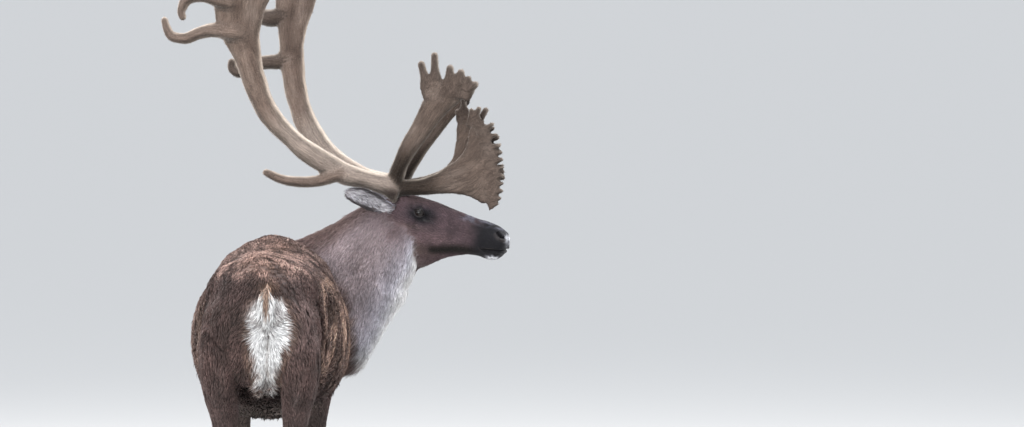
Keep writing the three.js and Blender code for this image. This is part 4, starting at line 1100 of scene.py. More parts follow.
    # painted highlight: a pale bluish sheen along the top of the nose
    nose_top_highlight = smooth(hx, 115, 160) * smooth(hz, 6, 20) * smooth(noise(p, 14, 21) + 0.5 * thin, -0.35, 0.45)
    d_tip = mix(d_tip, (158, 158, 174), 0.85 * nose_top_highlight)
    d_root = mix(d_root, (70, 70, 80), 0.5 * nose_top_highlight)
    front = smooth(hx + 0.45 * hz + 3 * noise(p, 8, 24), 280, 290) * smooth(-hz, -20, 2)
    lower = smooth(hx, 228, 256) * smooth(-hz + 6 * noise(p, 9, 30), 66, 80)
    lips = np.clip(np.maximum(front, lower), 0, 1) * (1 - 0.5 * smooth(noise(p, 7, 28), 0.3, 0.9))
    d_tip, d_root = mix(d_tip, (246, 248, 252), 0.92 * lips), mix(d_root, (190, 192, 200), 0.85 * lips)
    throat = smooth(-hz, 130, 178) * (1 - smooth(hx, 60, 150))
    d_tip, d_root = mix(d_tip, (170, 160, 152), 0.55 * throat), mix(d_root, (92, 84, 80), 0.5 * throat)
    poll = smooth(-hx, 60, 110) * smooth(hz, -20, 30)
    d_tip, d_root = mix(d_tip, (92, 80, 80), 0.6 * poll), mix(d_root, (46, 40, 41), 0.6 * poll)
    tip, root = mix(tip, d_tip, w[:, HEAD_I]), mix(root, d_root, w[:, HEAD_I])

    # ears: pale grey, dark edge, long pale hair inside
    e_tip, e_root = np.tile([180.0, 178, 188], (k, 1)), np.tile([132.0, 130, 138], (k, 1))
    rim = np.maximum(smooth(np.abs(f["ear_u"]), 0.80, 0.97), smooth(f["ear_t"], 0.93, 1.0))
    e_tip, e_root = mix(e_tip, (58, 52, 52), 0.8 * rim * smooth(f["ear_t"], 0.1, 0.3)), mix(e_root, (26, 23, 23), 0.8 * rim)
    e_tip = mix(e_tip, (226, 224, 228), 0.7 * f["ear_in"] * (1 - rim))
    e_root = mix(e_root, (120, 114, 118), 0.5 * f["ear_in"] * (1 - smooth(f["ear_t"], 0.5, 0.8)))
    e_tip = mix(e_tip, (120, 112, 110), 0.45 * (1 - f["ear_in"]) * smooth(f["ear_t"], 0.3, 0.8))
    tip, root = mix(tip, e_tip, w[:, EAR_I]), mix(root, e_root, w[:, EAR_I])

    # painted shade: hair darkened along the creases under the buttocks and down the left thigh
    fold = np.exp(-(to_line(p, [(-190, -505, 1012), (-178, -580, 962), (-164, -612, 918), (-128, -634, 888), (-74, -645, 880)])[0] / 17) ** 2)
    fold += 0.8 * np.exp(-(to_line(p, [(162, -520, 950), (150, -596, 896), (104, -632, 872)])[0] / 18) ** 2)
    fold += 0.7 * np.exp(-(to_line(p, [(-146, -606, 836), (-138, -596, 770), (-128, -590, 690)])[0] / 16) ** 2)
    fold = np.clip(fold, 0, 1) * (1 - patch)
    tip, root = tip * (1 - 0.34 * fold)[:, None], root * (1 - 0.4 * fold)[:, None]
    shade = 1 + 0.10 * broad + 0.08 * mid_ + 0.07 * fine
    root, tip = root * shade[:, None], tip * shade[:, None]
    root, tip = (v * (0.88 + 0.12 * smooth(v.mean(1, keepdims=True), 165, 235)) for v in (root, tip))
    return np.clip(root, 4, 250), np.clip(tip, 6, 252)


def bare_skin(h):
    """Where the skin shows: lids, gland, nostrils and the line of the mouth."""
    q = np.stack([h[:, 0], np.abs(h[:, 1]), h[:, 2]], 1)
    a, r, v, el = eye_place(q)
    lids = 1 - smooth(a, 5, 11)
    near = HEAD_BOX(h)
    cloud = q[near] if near.any() else q
    out = lids
    for line, radius in ((GLAND, 4.2), (NOSTRIL, 9.5), (MOUTH, 3.2)):
        out = np.maximum(out, np.exp(-(to_line(q, laid(cloud, line, 3.0))[0] / radius) ** 4))
    return out * near


def coat_size(f):
    """Length, width (mm), lift (degrees) and number to the square centimetre of the tufts."""
    p, n, w = f["p"], f["n"], f["share"]
    x, y, z = p.T
    h = in_head(p)
    hx, hy, hz = h[:, 0], np.abs(h[:, 1]), h[:, 2]
    patch, edge = white_patch(p)
    legs = w[:, LEG_I].sum(1)
    under = smooth(-n[:, 2], 0.1, 0.8)
    back = smooth(n[:, 2], 0.2, 0.8) * smooth(z, 1000, 1080)
    rear = smooth(-n[:, 1], 0.2, 0.7) * smooth(-y, 300, 450)
    short = np.clip(back + rear, 0, 1)
    length = 34 + 12 * smooth(y, -380, -250) * (1 - back) + 12 * under + 4 * smooth(y, 200, 400) - 10 * short
    width = 3.7 - 0.5 * short
    lift = 12 + 6 * under - 1.5 * short
    number = 4.0 - 1.2 * under + 2.2 * short
    length, lift, width = length + 12 * patch, lift - 2 * patch, width - 0.9 * patch
    number = number + 1.5 * patch
    leg_length = 30 * smooth(z, 640, 860) + (1 - smooth(z, 640, 860)) * (7.5 + 11 * smooth(z, 380, 640))
    leg_length = leg_length + (36 - leg_length) * patch + 5 * np.exp(-((z - 108) / 26) ** 2)
    leg_width = 2.6 + 1.4 * smooth(z, 560, 820)
    leg_number = 4.2 + 5.5 * (1 - smooth(z, 560, 800))
    leg_lift = 9 + 3 * smooth(z, 560, 800) - 1 * patch
    t, u = f["neck_t"], f["neck_u"]
    neck = [30 + 26 * smooth(-u, 0.1, 0.9) + 8 * smooth(u, 0.6, 0.95) - 12 * smooth(t, 0.72, 1), 2.9 - 0.4 * smooth(t, 0.8, 1),
            8 + 9 * smooth(-u, 0.4, 1) + 3 * smooth(u, 0.7, 1), 5.6 + 1.2 * smooth(t, 0.8, 1)]
    nape = smooth(-hx, 40, 110)
    muzzle = smooth(hx, 150, 240)
    head = [9.5 + 8 * nape + 5 * smooth(-hz, 120, 175) - 4.2 * muzzle - 2.2 * smooth(hx, 275, 300), 2.3 + 0.9 * nape - 0.8 * muzzle,
            14 - 4 * muzzle + 3 * nape, 15 + 7 * muzzle - 6 * nape]
    tail = [44 - 0 * x, 4.2 - 0 * x, 15 - 0 * x, 7 - 0 * x]
    ear = [10 + 12 * f["ear_in"] * (1 - smooth(f["ear_t"], 0.6, 1)), 2.2 + 0.6 * f["ear_in"], 13 + 6 * f["ear_in"], 15 - 4 * f["ear_in"]]
    out = []
    for i, (a, b) in enumerate(zip((length, width, lift, number), (leg_length, leg_width, leg_lift, leg_number))):
        out.append(a * w[:, TRUNK_I] + b * legs + neck[i] * w[:, NECK_I] + head[i] * w[:, HEAD_I] + tail[i] * w[:, TAIL_I] + ear[i] * w[:, EAR_I])
    return out


FIELDS = {"p": P, "n": N, "share": SHARE, "neck_t": NECK_T, "neck_s": NECK_S, "neck_u": NECK_U,
          "ear_t": EAR_T, "ear_u": EAR_U, "ear_in": EAR_IN}
BARE = bare_skin(HL) * (HARD == HEAD_I)


# ---------------------------------------------------------------- the skin laid flat, for the coat's places
SHEET = 2820.0


def flat_places():
    """Every triangle corner's place on a flat sheet: each part cut open along its length."""
    own = HARD[T[:, 0]]
    face_n = unit(np.cross(P[T[:, 1]] - P[T[:, 0]], P[T[:, 2]] - P[T[:, 0]]))
    mid = P[T].mean(1)
    corner = P[T].reshape(-1, 3)
    out = np.zeros((len(T), 3, 2))

    def turned(angle):
        a = angle.reshape(-1, 3)
        return a - 2 * np.pi * np.round((a - a[:, :1]) / (2 * np.pi))

    def place(chosen, across, along, x0, y0):
        uv = np.stack([across.reshape(-1, 3), along.reshape(-1, 3)], -1) + [x0, y0]
        out[chosen] = uv[chosen]

    def rolled(chosen, cx, cy, sx, sy, radius, along, x0, y0):
        a = turned(np.arctan2(sy - cy, sx - cx))
        place(chosen, (a + np.pi) * radius + 14, along, x0, y0)

    x, y, z = corner.T
    ty, tt, tb, th, tx, tl = np.array(TRUNK, float).T
    rear = (own <= 6) & (own != 2) & (face_n[:, 1] < -0.62) & (mid[:, 1] < -400) & (mid[:, 2] > 640)
    front = (own == TRUNK_I) & (face_n[:, 1] > 0.62) & (mid[:, 1] > 400)
    rolled(own == TRUNK_I, np.interp(y, ty, tx), np.interp(y, ty, (tt + tb) / 2), x, z, 255, y + 650, 0, 0)
    place(front, x + 230, z - 640, 2100, 640)
    place(rear, x + 230, z - 640, 1660, 640)
    h = in_head(corner)
    hr = np.array(HEAD, float)
    rolled(own == HEAD_I, 0, np.interp(h[:, 0], hr[:, 0], hr[:, 4]), h[:, 1], h[:, 2], 96, h[:, 0] + 140, 1660, 1220)
    nose = (own == HEAD_I) & ((face_n @ FORWARD) > 0.75) & (in_head(mid)[:, 0] > 250)
    place(nose, h[:, 1] + 60, h[:, 2] + 110, 2300, 1220)
    place(own == NECK_I, turned(np.arctan2(NECK_U[T].ravel() * 1.0, NECK_S[T].ravel())) * 172 + 550, NECK_T[T].ravel() * 560 + 20, 1660, 0)
    for i, name in enumerate(LEGS):
        lz, lx, ly, lh, ld = leg_rows(name, 60)
        lx, ly, lh, ld = (np.interp(z, lz[::-1], v[::-1]) for v in (lx, ly, lh, ld))
        upper = (own == 3 + i) & (mid[:, 2] > 560) & ~rear
        a = turned(np.arctan2((y - ly) / ld, (x - lx) / lh))
        place(upper, (a + np.pi) * 138 + 14, z - 555, (i % 3) * 920 if i < 3 else 0, 1680 if i < 3 else 2240)
        lower = (own == 3 + i) & (mid[:, 2] <= 560)
        place(lower, (a + np.pi) * 38 + 10, z, 920 + 280 * i, 2240)
    rolled(own == TAIL_I, TAIL_X, -640, x, y, 22, z - 900, 2560, 640)
    for k, side in enumerate((-1, 1)):
        for inner in (0, 1):
            m = (EAR_SIDE[T[:, 0]] == side) & ((EAR_IN[T].sum(1) > 1.5) == bool(inner))
            place(m, EAR_U[T].ravel() * 42 + 50, EAR_T[T].ravel() * 180 + 20, (2 * k + inner) * 130, 1400)
    return out / SHEET


FLAT = flat_places()


# ---------------------------------------------------------------- materials
VIEW = "Standard"


def material(name, roughness=0.6):
    mat = bpy.data.materials.new(name)
    mat.use_nodes = True
    nt = mat.node_tree
    shader = nt.nodes["Principled BSDF"]
    shader.inputs["Roughness"].default_value = roughness
    return mat, nt, shader


def node(nt, kind, **values):
    n = nt.nodes.new(kind)
    for k, v in values.items():
        if k.startswith("in_"):
            n.inputs[int(k[3:]) if k[3:].isdigit() else k[3:].replace("_", " ")].default_value = v
        else:
            setattr(n, k, v)
    return n


def linked(nt, a, b):
    nt.links.new(a, b)


def scaled(nt, source, scale):
    m = node(nt, "ShaderNodeVectorMath", operation="MULTIPLY")
    m.inputs[1].default_value = scale
    linked(nt, source, m.inputs[0])
    return m.outputs[0]


def noise_node(nt, source, scale, detail=2.0, roughness=0.5):
    n = node(nt, "ShaderNodeTexNoise", in_Scale=scale, in_Detail=detail, in_Roughness=roughness)
    linked(nt, source, n.inputs["Vector"])
    return n.outputs["Fac"]


def ranged(nt, source, low, high, a=0.0, b=1.0):
    n = node(nt, "ShaderNodeMapRange")
    linked(nt, source, n.inputs["Value"])
    for k, v in zip(("From Min", "From Max", "To Min", "To Max"), (a, b, low, high)):
        n.inputs[k].default_value = v
    return n.outputs["Result"]


def shaded(nt, colour, factor):
    """A colour made lighter or darker by a number about 1."""
    n = node(nt, "ShaderNodeVectorMath", operation="SCALE")
    linked(nt, colour, n.inputs[0])
    linked(nt, factor, n.inputs["Scale"])
    return n.outputs[0]


def bumped(nt, shader, height, strength, distance, under=None):
    n = node(nt, "ShaderNodeBump", in_Strength=strength, in_Distance=distance)
    linked(nt, height, n.inputs["Height"])
    if under is not None:
        linked(nt, under, n.inputs["Normal"])
    linked(nt, n.outputs["Normal"], shader.inputs["Normal"])
    return n.outputs["Normal"]


def times(nt, a, b, op="MULTIPLY"):
    n = node(nt, "ShaderNodeMath", operation=op)
    for i, v in enumerate((a, b)):
        if isinstance(v, (int, float)):
            n.inputs[i].default_value = v
        else:
            linked(nt, v, n.inputs[i])
    return n.outputs[0]


def fur_material(name, sheen=0.07, roughness=0.7):
    mat, nt, shader = material(name, roughness)
    tint = node(nt, "ShaderNodeAttribute", attribute_name="tint")
    strand = node(nt, "ShaderNodeAttribute", attribute_name="strand")
    n1 = noise_node(nt, scaled(nt, strand.outputs["Vector"], (5.5, 1.1, 57.0)), 1.6, 2.5, 0.6)
    linked(nt, shaded(nt, tint.outputs["Color"], ranged(nt, n1, 0.62, 1.38, 0.25, 0.75)), shader.inputs["Base Color"])
    bumped(nt, shader, n1, 0.55, 0.0012)
    shader.inputs["Specular IOR Level"].default_value = 0.12
    shader.inputs["Sheen Weight"].default_value = sheen
    shader.inputs["Sheen Roughness"].default_value = 0.45
    shader.inputs["Sheen Tint"].default_value = (1.0, 0.95, 0.9, 1)
    return mat


def skin_material():
    mat, nt, shader = material("short_hair_skin", 0.7)
    tint = node(nt, "ShaderNodeAttribute", attribute_name="tint")
    grain = node(nt, "ShaderNodeAttribute", attribute_name="grain")
    bare = node(nt, "ShaderNodeAttribute", attribute_name="bare")
    hair = noise_node(nt, scaled(nt, grain.outputs["Vector"], (1.0, 1.0, 1.0)), 0.75, 3.0, 0.6)
    broad = noise_node(nt, grain.outputs["Vector"], 0.16, 2.0)
    f = times(nt, ranged(nt, hair, 0.6, 1.4, 0.25, 0.75), ranged(nt, broad, 0.85, 1.15, 0.3, 0.7))
    linked(nt, shaded(nt, tint.outputs["Color"], f), shader.inputs["Base Color"])
    pores = noise_node(nt, node(nt, "ShaderNodeTexCoord").outputs["Object"], 900.0, 2.0)
    first = node(nt, "ShaderNodeBump", in_Strength=0.7, in_Distance=0.0012)
    linked(nt, hair, first.inputs["Height"])
    second = node(nt, "ShaderNodeBump", in_Strength=0.25, in_Distance=0.0004)
    linked(nt, pores, second.inputs["Height"])
    linked(nt, first.outputs["Normal"], second.inputs["Normal"])
    linked(nt, second.outputs["Normal"], shader.inputs["Normal"])
    linked(nt, ranged(nt, bare.outputs["Fac"], 0.72, 0.38), shader.inputs["Roughness"])
    shader.inputs["Specular IOR Level"].default_value = 0.22
    shader.inputs["Sheen Weight"].default_value = 0.04
    return mat


FUR, SKIN_MATERIAL = fur_material("coat_hair"), skin_material()


def dress_skin():
    root, tip = colours(FIELDS)
    tint = mix(root, tip, 0.32 + 0.16 * SHARE[:, HEAD_I] + 0.1 * SHARE[:, NECK_I])
    dark = np.tile([30.0, 25, 26], (NV, 1))
    tint = mix(tint, dark, BARE)
    inner_ear = SHARE[:, EAR_I] * EAR_IN * (1 - smooth(np.abs(EAR_U), 0.8, 0.97))
    tint = mix(tint, (96, 78, 74), 0.6 * inner_ear)
    attribute(SKIN, "tint", "FLOAT_COLOR", srgb(*tint.T).T)
    attribute(SKIN, "bare", "FLOAT", BARE)
    x, y, z = P.T
    h = HL
    legs = SHARE[:, LEG_I].sum(1) + SHARE[:, TAIL_I]
    grain = (stack(y * 0.12, x, z) * SHARE[:, [TRUNK_I]] + stack(z * 0.12, x, y) * legs[:, None]
             + stack(NECK_T * 65, NECK_S * 150, NECK_U * 190) * SHARE[:, [NECK_I]]
             + stack(h[:, 0] * 0.14, h[:, 1], h[:, 2]) * SHARE[:, [HEAD_I]]
             + stack(EAR_T * 20, EAR_U * 35, EAR_IN * 9) * SHARE[:, [EAR_I]])
    attribute(SKIN, "grain", "FLOAT_VECTOR", grain)
    SKIN.materials.clear()
    SKIN.materials.append(SKIN_MATERIAL)
    SKIN.polygons.foreach_set("use_smooth", np.ones(len(SKIN.polygons), bool))
    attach(skin, "root")
    upper = {"hind": ("thigh", "shank", "foot"), "fore": ("shoulder", "forearm", "foot")}
    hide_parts("trunk", "neck", "tail", "head", "ear_left", "ear_right", *[f"{n}_{q}" for n in LEGS for q in upper[n[:4]]])


dress_skin()


# ---------------------------------------------------------------- tufts
LONG_FACES = [(0, 4, 1), (0, 3, 4), (1, 5, 2), (1, 4, 5), (2, 3, 0), (2, 5, 3), (3, 6, 4), (4, 6, 5), (5, 6, 3), (0, 1, 2)]
LONG_SPOTS = [(-0.5, 0), (0, 0), (0.5, 0), (-0.45, 0.5), (0, 0.5), (0.45, 0.5), (0, 1)]
SHORT_FACES = [(0, 3, 1), (1, 3, 2), (2, 3, 0), (0, 1, 2)]
SHORT_SPOTS = [(-0.5, 0), (0, 0), (0.5, 0), (0, 1)]


def many(name, verts, pattern, spots, place, tint, strand, mat):
    """One mesh of n copies of a small closed shape: verts (n, v, 3), pattern of triangles."""
    n, v = verts.shape[:2]
    pattern = np.array(pattern, np.int32)
    index = (pattern.ravel()[None] + (np.arange(n, dtype=np.int32) * v)[:, None]).ravel()
    me = bpy.data.meshes.new(name)
    me.vertices.add(n * v)
    me.vertices.foreach_set("co", to_row(verts.reshape(-1, 3)).astype(np.float32).ravel())
    me.loops.add(len(index))
    me.loops.foreach_set("vertex_index", index)
    me.polygons.add(len(index) // 3)
    me.polygons.foreach_set("loop_start", np.arange(0, len(index), 3, dtype=np.int32))
    me.update(calc_edges=True)
    me.polygons.foreach_set("use_smooth", np.ones(len(me.polygons), bool))
    attribute(me, "tint", "FLOAT_COLOR", tint.reshape(-1, 3))
    attribute(me, "strand", "FLOAT_VECTOR", strand.reshape(-1, 3))
    corner = np.array(spots, float)[pattern]
    corner[-1, 1, 1] = -0.3                      # the root's own face has width too
    uv = place[:, None, :] + (corner.reshape(-1, 2) - [0, 0.35])[None] * 0.003
    layer = me.uv_layers.new(name="OFBake")
    layer.data.foreach_set("uv", uv.astype(np.float32).ravel())
    me.materials.append(mat)
    ob = bpy.data.objects.new(name, me)
    bpy.context.scene.collection.objects.link(ob)
    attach(ob, "root")
    return ob


def roots(density, seed):
    """Places for tufts, spread evenly over the skin's triangles: triangle and corner weights."""
    r = np.random.default_rng(seed)
    a, b, c = (P[T[:, k]] for k in range(3))
    area = np.linalg.norm(np.cross(b - a, c - a), axis=1) / 2 / 100
    total = np.cumsum(area * density[T].mean(1))
    n = int(total[-1])
    at = (np.arange(n) + r.random(n)) / n * total[-1]
    i = np.clip(np.searchsorted(total, at), 0, len(T) - 1)
    s, t = np.sqrt(r.random(n)), r.random(n)
    return i, np.stack([1 - s, s * (1 - t), s * t], 1)


def carried(i, w):
    """Everything the skin carries, at places on its triangles."""
    pick = lambda v: np.einsum("ij,ij...->i...", w, v[T[i]])
    f = {k: pick(v) for k, v in FIELDS.items()}
    f["n"] = unit(f["n"])
    lie = pick(LIE)
    f["lie"] = unit(lie - f["n"] * (lie * f["n"]).sum(1, keepdims=True))
    f["bare"] = pick(BARE)
    f["place"] = np.einsum("ij,ijk->ik", w, FLAT[i])
    f["part"] = HARD[T[i, 0]]
    f["ear_side"] = EAR_SIDE[T[i, 0]]
    return f


def clumped(p, tip, size, pull, seed):
    """Draws the tips of neighbouring tufts together."""
    q = p / size + 0.35 * np.stack([noise(p, size * 1.7, seed + k) for k in range(3)], 1)
    cell = np.floor(q).astype(np.int64)
    key = (cell[:, 0] * 73856093) ^ (cell[:, 1] * 19349663) ^ (cell[:, 2] * 83492791)
    _, group, count = np.unique(key, return_inverse=True, return_counts=True)
    group = group.ravel()
    middle = np.stack([np.bincount(group, tip[:, k]) for k in range(3)], 1) / count[:, None]
    return tip + (middle[group] - tip) * np.reshape(pull, (-1, 1))


def grow(f, seed, long_):
    r = np.random.default_rng(seed)
    n = len(f["p"])
    length, width, lift, _ = coat_size(f)
    p, nor, lie = f["p"], f["n"], f["lie"]
    wander = (0.20 * noise(p, 60, 31) + 0.16 * noise(p, 22, 32) + 0.10 * r.standard_normal(n)) * (1 - 0.4 * f["share"][:, NECK_I])
    side = np.cross(nor, lie)
    lie = unit(lie + side * wander[:, None])
    side = np.cross(nor, lie)
    line = strips(f, 11, 8)
    length = length * (1 + 0.14 * line + 0.16 * (r.random(n) - 0.5) * 2)
    angle = np.radians(np.clip(lift * (1 + 0.35 * noise(p, 26, 33) + 0.25 * line + 0.25 * r.standard_normal(n)), 3, 50))
    width = width * (0.8 + 0.4 * r.random(n))
    L, W, A = length[:, None], width[:, None], angle[:, None]
    tip = p + lie * L * np.cos(A) + nor * L * np.sin(A) * 0.85 + side * L * (0.10 * r.standard_normal((n, 1)))
    if long_:
        calm = 1 - 0.6 * white_patch(f["p"])[0] - 0.8 * f["share"][:, NECK_I] - 0.6 * f["share"][:, TRUNK_I] * smooth(f["p"][:, 1], -380, -260)
        calm = np.clip(calm, 0.15, 1)
        tip = clumped(p, tip, 17.0, 0.26 * calm, 40)
        tip = clumped(p, tip, 8.0, 0.28 * calm, 44)
    sunk = p - nor * (1.2 if not long_ else 2.5)
    root, tipc = colours(f)
    jitter = 1 + (0.12 - 0.06 * f["share"][:, [NECK_I]]) * r.standard_normal((n, 1))
    root, tipc = np.clip(root * (1 + 0.6 * (jitter - 1)), 4, 252), np.clip(tipc * jitter, 6, 253)
    rc, tc = srgb(*root.T).T, srgb(*tipc.T).T
    # painted shade: the roots darkened a further 12 % for the shade deep in the coat
    rc = rc * 0.88
    rand = r.random(n)
    if long_:
        mid = p + (tip - p) * 0.5 + nor * L * (0.10 + 0.08 * np.sin(A)) * 0.75
        ring0 = [sunk - side * W * 0.5, sunk + nor * W * 0.3, sunk + side * W * 0.5]
        ring1 = [mid - side * W * 0.42, mid + nor * W * 0.26, mid + side * W * 0.42]
        verts = np.stack(ring0 + ring1 + [tip], 1)
        mc = rc * 0.45 + tc * 0.55
        tint = np.stack([rc] * 3 + [mc] * 3 + [tc], 1)
        pattern, spots = LONG_FACES, LONG_SPOTS
    else:
        ring0 = [sunk - side * W * 0.5, sunk + nor * W * 0.45 + lie * W * 0.2, sunk + side * W * 0.5]
        verts = np.stack(ring0 + [tip], 1)
        base = rc * 0.6 + tc * 0.4
        tint = np.stack([base] * 3 + [tc], 1)
        pattern, spots = SHORT_FACES, SHORT_SPOTS
    sp = np.array(spots, float)
    strand = np.stack(np.broadcast_arrays(sp[None, :, 0], sp[None, :, 1], rand[:, None]), -1)
    return verts, pattern, spots, tint, strand


def build_coat():
    length, width, lift, number = coat_size(FIELDS)
    share_long = smooth(length, 14, 17)
    cover = 1 - 0.97 * smooth(BARE, 0.1, 0.5)
    thin = 0.86
    total = 0
    for long_, density, seed in ((True, number * share_long, 101), (False, number * (1 - share_long), 202)):
        i, w = roots(np.clip(density * cover * thin, 0, None), seed)
        f = carried(i, w)
        x, y, z = f["p"].T
        part = f["part"]
        region = np.select(
            [part == EAR_I, part == HEAD_I, part == NECK_I, part == TAIL_I, white_patch(f["p"])[0] > 0.5,
             part >= 3, (part == TRUNK_I) & (y < -330), (part == TRUNK_I) & (y > 250)],
            [0, 1, 2, 3, 4, 5, 6, 7], 8)
        names = ["ears", "head", "neck", "tail", "patch", "legs", "rump", "withers", "barrel"]
        verts, pattern, spots, tint, strand = grow(f, seed + 7, long_)
        most = 195000 // len(pattern)
        for k, name in enumerate(names):
            m = np.flatnonzero(region == k)
            if len(m) < 30:
                continue
            m = m[np.argsort(x[m], kind="stable")] if name not in ("barrel", "rump") else m[np.argsort(x[m] + 0 * z[m], kind="stable")]
            parts = -(-len(m) // most)
            for j, chunk in enumerate(np.array_split(m, parts)):
                many(f"coat_{name}_{'long' if long_ else 'short'}_{j + 1}", verts[chunk], pattern, spots, f["place"][chunk],
                     tint[chunk], strand[chunk], FUR)
                total += len(chunk) * len(pattern)
                print("coat", name, long_, len(chunk), len(chunk) * len(pattern))
    print("coat triangles", total, "skin", len(T))


build_coat()


# ---------------------------------------------------------------- antlers in velvet
def fine_blade(table, side, n, k, power=2.2, ends=(0, 0.5)):
    """A blade between two edges. Also each point's place: along, across, through."""
    rows = resample(table, n, lambda r: stack((r[0] + r[2]) / 2, r[4], (r[1] + r[3]) / 2))
    a, b = H(rows[:, 0], -side * rows[:, 4], rows[:, 1]), H(rows[:, 2], -side * rows[:, 4], rows[:, 3])
    wide, half = unit(b - a), np.linalg.norm(b - a, axis=1) / 2
    c, thick = (a + b) / 2, rows[:, 5].copy()
    along = np.gradient(c, axis=0)
    s = np.r_[0, np.cumsum(np.linalg.norm(np.diff(c, axis=0), axis=1))]
    if ends[1]:
        close = np.clip((s - (s[-1] - thick[-1] * 2.2)) / (thick[-1] * 2.2), 0, 1)
        thick = thick * (1 - 0.45 * close ** 2)
        half = half * (1 - 0.06 * close ** 2)
    through = np.broadcast_to(LEFT, wide.shape)
    rings = ring(c, wide, through, half, thick, thick, k, power, power)
    off = rings - c[:, None]
    where = stack(np.broadcast_to(s[:, None], off.shape[:2]), (off * wide[:, None]).sum(-1), (off * LEFT).sum(-1))
    return loft(rings), capped(where)


def capped(where):
    flat = where.reshape(-1, 3)
    return np.concatenate([flat, where[:1].mean(1), where[-1:].mean(1)])


def fine_tine(table, side, n, k, blunt=0.88):
    rows = np.array(table, float)
    rows[-1, 3] = max(rows[-1, 3], rows[-2, 3] * blunt)
    rows = resample(rows, n, lambda r: stack(r[0], r[1], r[2]))
    at, r = H(rows[:, 0], -side * rows[:, 1], rows[:, 2]), rows[:, 3]
    along = unit(np.gradient(at, axis=0))
    for turn in (25, 50, 70, 84):
        t = math.radians(turn)
        at = np.concatenate([at, at[n - 1:n] + along[n - 1:n] * r[n - 1] * math.sin(t)])
        r, along = np.r_[r, r[n - 1] * math.cos(t)], np.concatenate([along, along[n - 1:n]])
    side1 = unit(LEFT - along * (along @ LEFT)[:, None])
    up = np.cross(along, side1)
    rings = ring(at, side1, up, r * 0.9, r, r, k)
    off = rings - at[:, None]
    s = np.r_[0, np.cumsum(np.linalg.norm(np.diff(at, axis=0), axis=1))]
    where = stack(np.broadcast_to(s[:, None], off.shape[:2]) + 37, (off * up[:, None]).sum(-1), (off * side1[:, None]).sum(-1))
    return loft(rings), capped(where)


def knob(p, side):
    """A blunt stub that widens into the edge of its blade."""
    x0, z0, x1, z1, y, r = p
    a, b = H(x0, -side * y, z0), H(x1, -side * y, z1)
    n = np.linalg.norm(b - a)
    along = (b - a) / n
    across = unit(np.cross(along, LEFT))
    t = np.linspace(-0.45, 1 - 0.7 * r / n, 18)
    half = r * (1.02 - 0.12 * smooth(t, 0.3, 1.0)) + 0.9 * r * (1 - smooth(t, 0.0, 0.66)) ** 1.5
    thick = r * (0.42 + 0.46 * smooth(t, -0.1, 0.5))
    c = a + along * (t * n)[:, None]
    for turn in (25, 48, 68, 84):
        s = math.radians(turn)
        c = np.concatenate([c, [c[17] + along * half[17] * math.sin(s)]])
        half, thick = np.r_[half, half[17] * math.cos(s)], np.r_[thick, thick[17] * math.cos(s)]
    rings = ring(c, across, LEFT, half, thick, thick, 16)
    off = rings - c[:, None]
    s = np.linalg.norm(c - c[0], axis=1)
    where = stack(np.broadcast_to(s[:, None], off.shape[:2]) + 91, (off @ across), (off @ LEFT))
    return loft(rings), capped(where)


VELVET = None


def velvet_material():
    mat, nt, shader = material("velvet", 0.78)
    tint = node(nt, "ShaderNodeAttribute", attribute_name="tint")
    grain = node(nt, "ShaderNodeAttribute", attribute_name="grain")
    streak = noise_node(nt, grain.outputs["Vector"], 0.30, 3.0, 0.62)
    hair = noise_node(nt, scaled(nt, grain.outputs["Vector"], (3.0, 1.0, 1.0)), 1.1, 2.0)
    f = times(nt, ranged(nt, streak, 0.60, 1.42, 0.28, 0.72), ranged(nt, hair, 0.74, 1.26, 0.3, 0.7))
    linked(nt, shaded(nt, tint.outputs["Color"], f), shader.inputs["Base Color"])
    first = node(nt, "ShaderNodeBump", in_Strength=0.8, in_Distance=0.0022)
    linked(nt, streak, first.inputs["Height"])
    second = node(nt, "ShaderNodeBump", in_Strength=0.7, in_Distance=0.0009)
    linked(nt, hair, second.inputs["Height"])
    linked(nt, first.outputs["Normal"], second.inputs["Normal"])
    linked(nt, second.outputs["Normal"], shader.inputs["Normal"])
    shader.inputs["Specular IOR Level"].default_value = 0.1
    shader.inputs["Sheen Weight"].default_value = 0.55
    shader.inputs["Sheen Roughness"].default_value = 0.28
    shader.inputs["Sheen Tint"].default_value = (1.0, 0.93, 0.88, 1)
    return mat


def velvet_colour(p, g, base, tipness):
    """Brown velvet, mottled along the beam, darkened by painted shade at the roots of the front blades."""
    k = len(p)
    c = np.tile([132.0, 114, 103], (k, 1))
    q = g * [0.10, 1, 1]
    c = mix(c, (176, 158, 146), 0.7 * smooth(noise(q, 17, 51) + 0.6 * noise(q, 7, 52), 0.05, 0.8))
    c = mix(c, (88, 72, 64), 0.7 * smooth(noise(q, 13, 53) + 0.5 * noise(g, 30, 54), 0.15, 0.9))
    c = mix(c, (190, 177, 166), 0.6 * smooth(base, 0.2, 0.8) * (1 - smooth(base, 0.92, 1.0)))
    # painted shade: dark at the antler's root, where it meets the head
    c = mix(c, (74, 62, 56), 0.7 * smooth(base, 0.85, 1.0))
    c = mix(c, (140, 122, 112), 0.3 * tipness)
    return c * (1 + 0.08 * noise(p, 60, 55) + 0.08 * noise(p, 9, 56))[:, None]


SMALL_POINTS = [[x - 0.86 * 27, z - 0.51 * 27, x, z, -20, r] for x, z, r in (
    (237, 164, 8), (225, 213, 8), (206, 259, 8), (177, 310, 8), (242, 116, 8), (238, 96, 8))] + [
    [56, 428, 66, 474, -113, 11], [18, 428, 14, 468, -112, 10]]
SMALL_POINTS_FAR = [[x - 0.8 * 27, z - 0.6 * 27, x, z, -26, 9] for x, z in ((184, 276), (150, 322), (210, 214), (216, 196))]


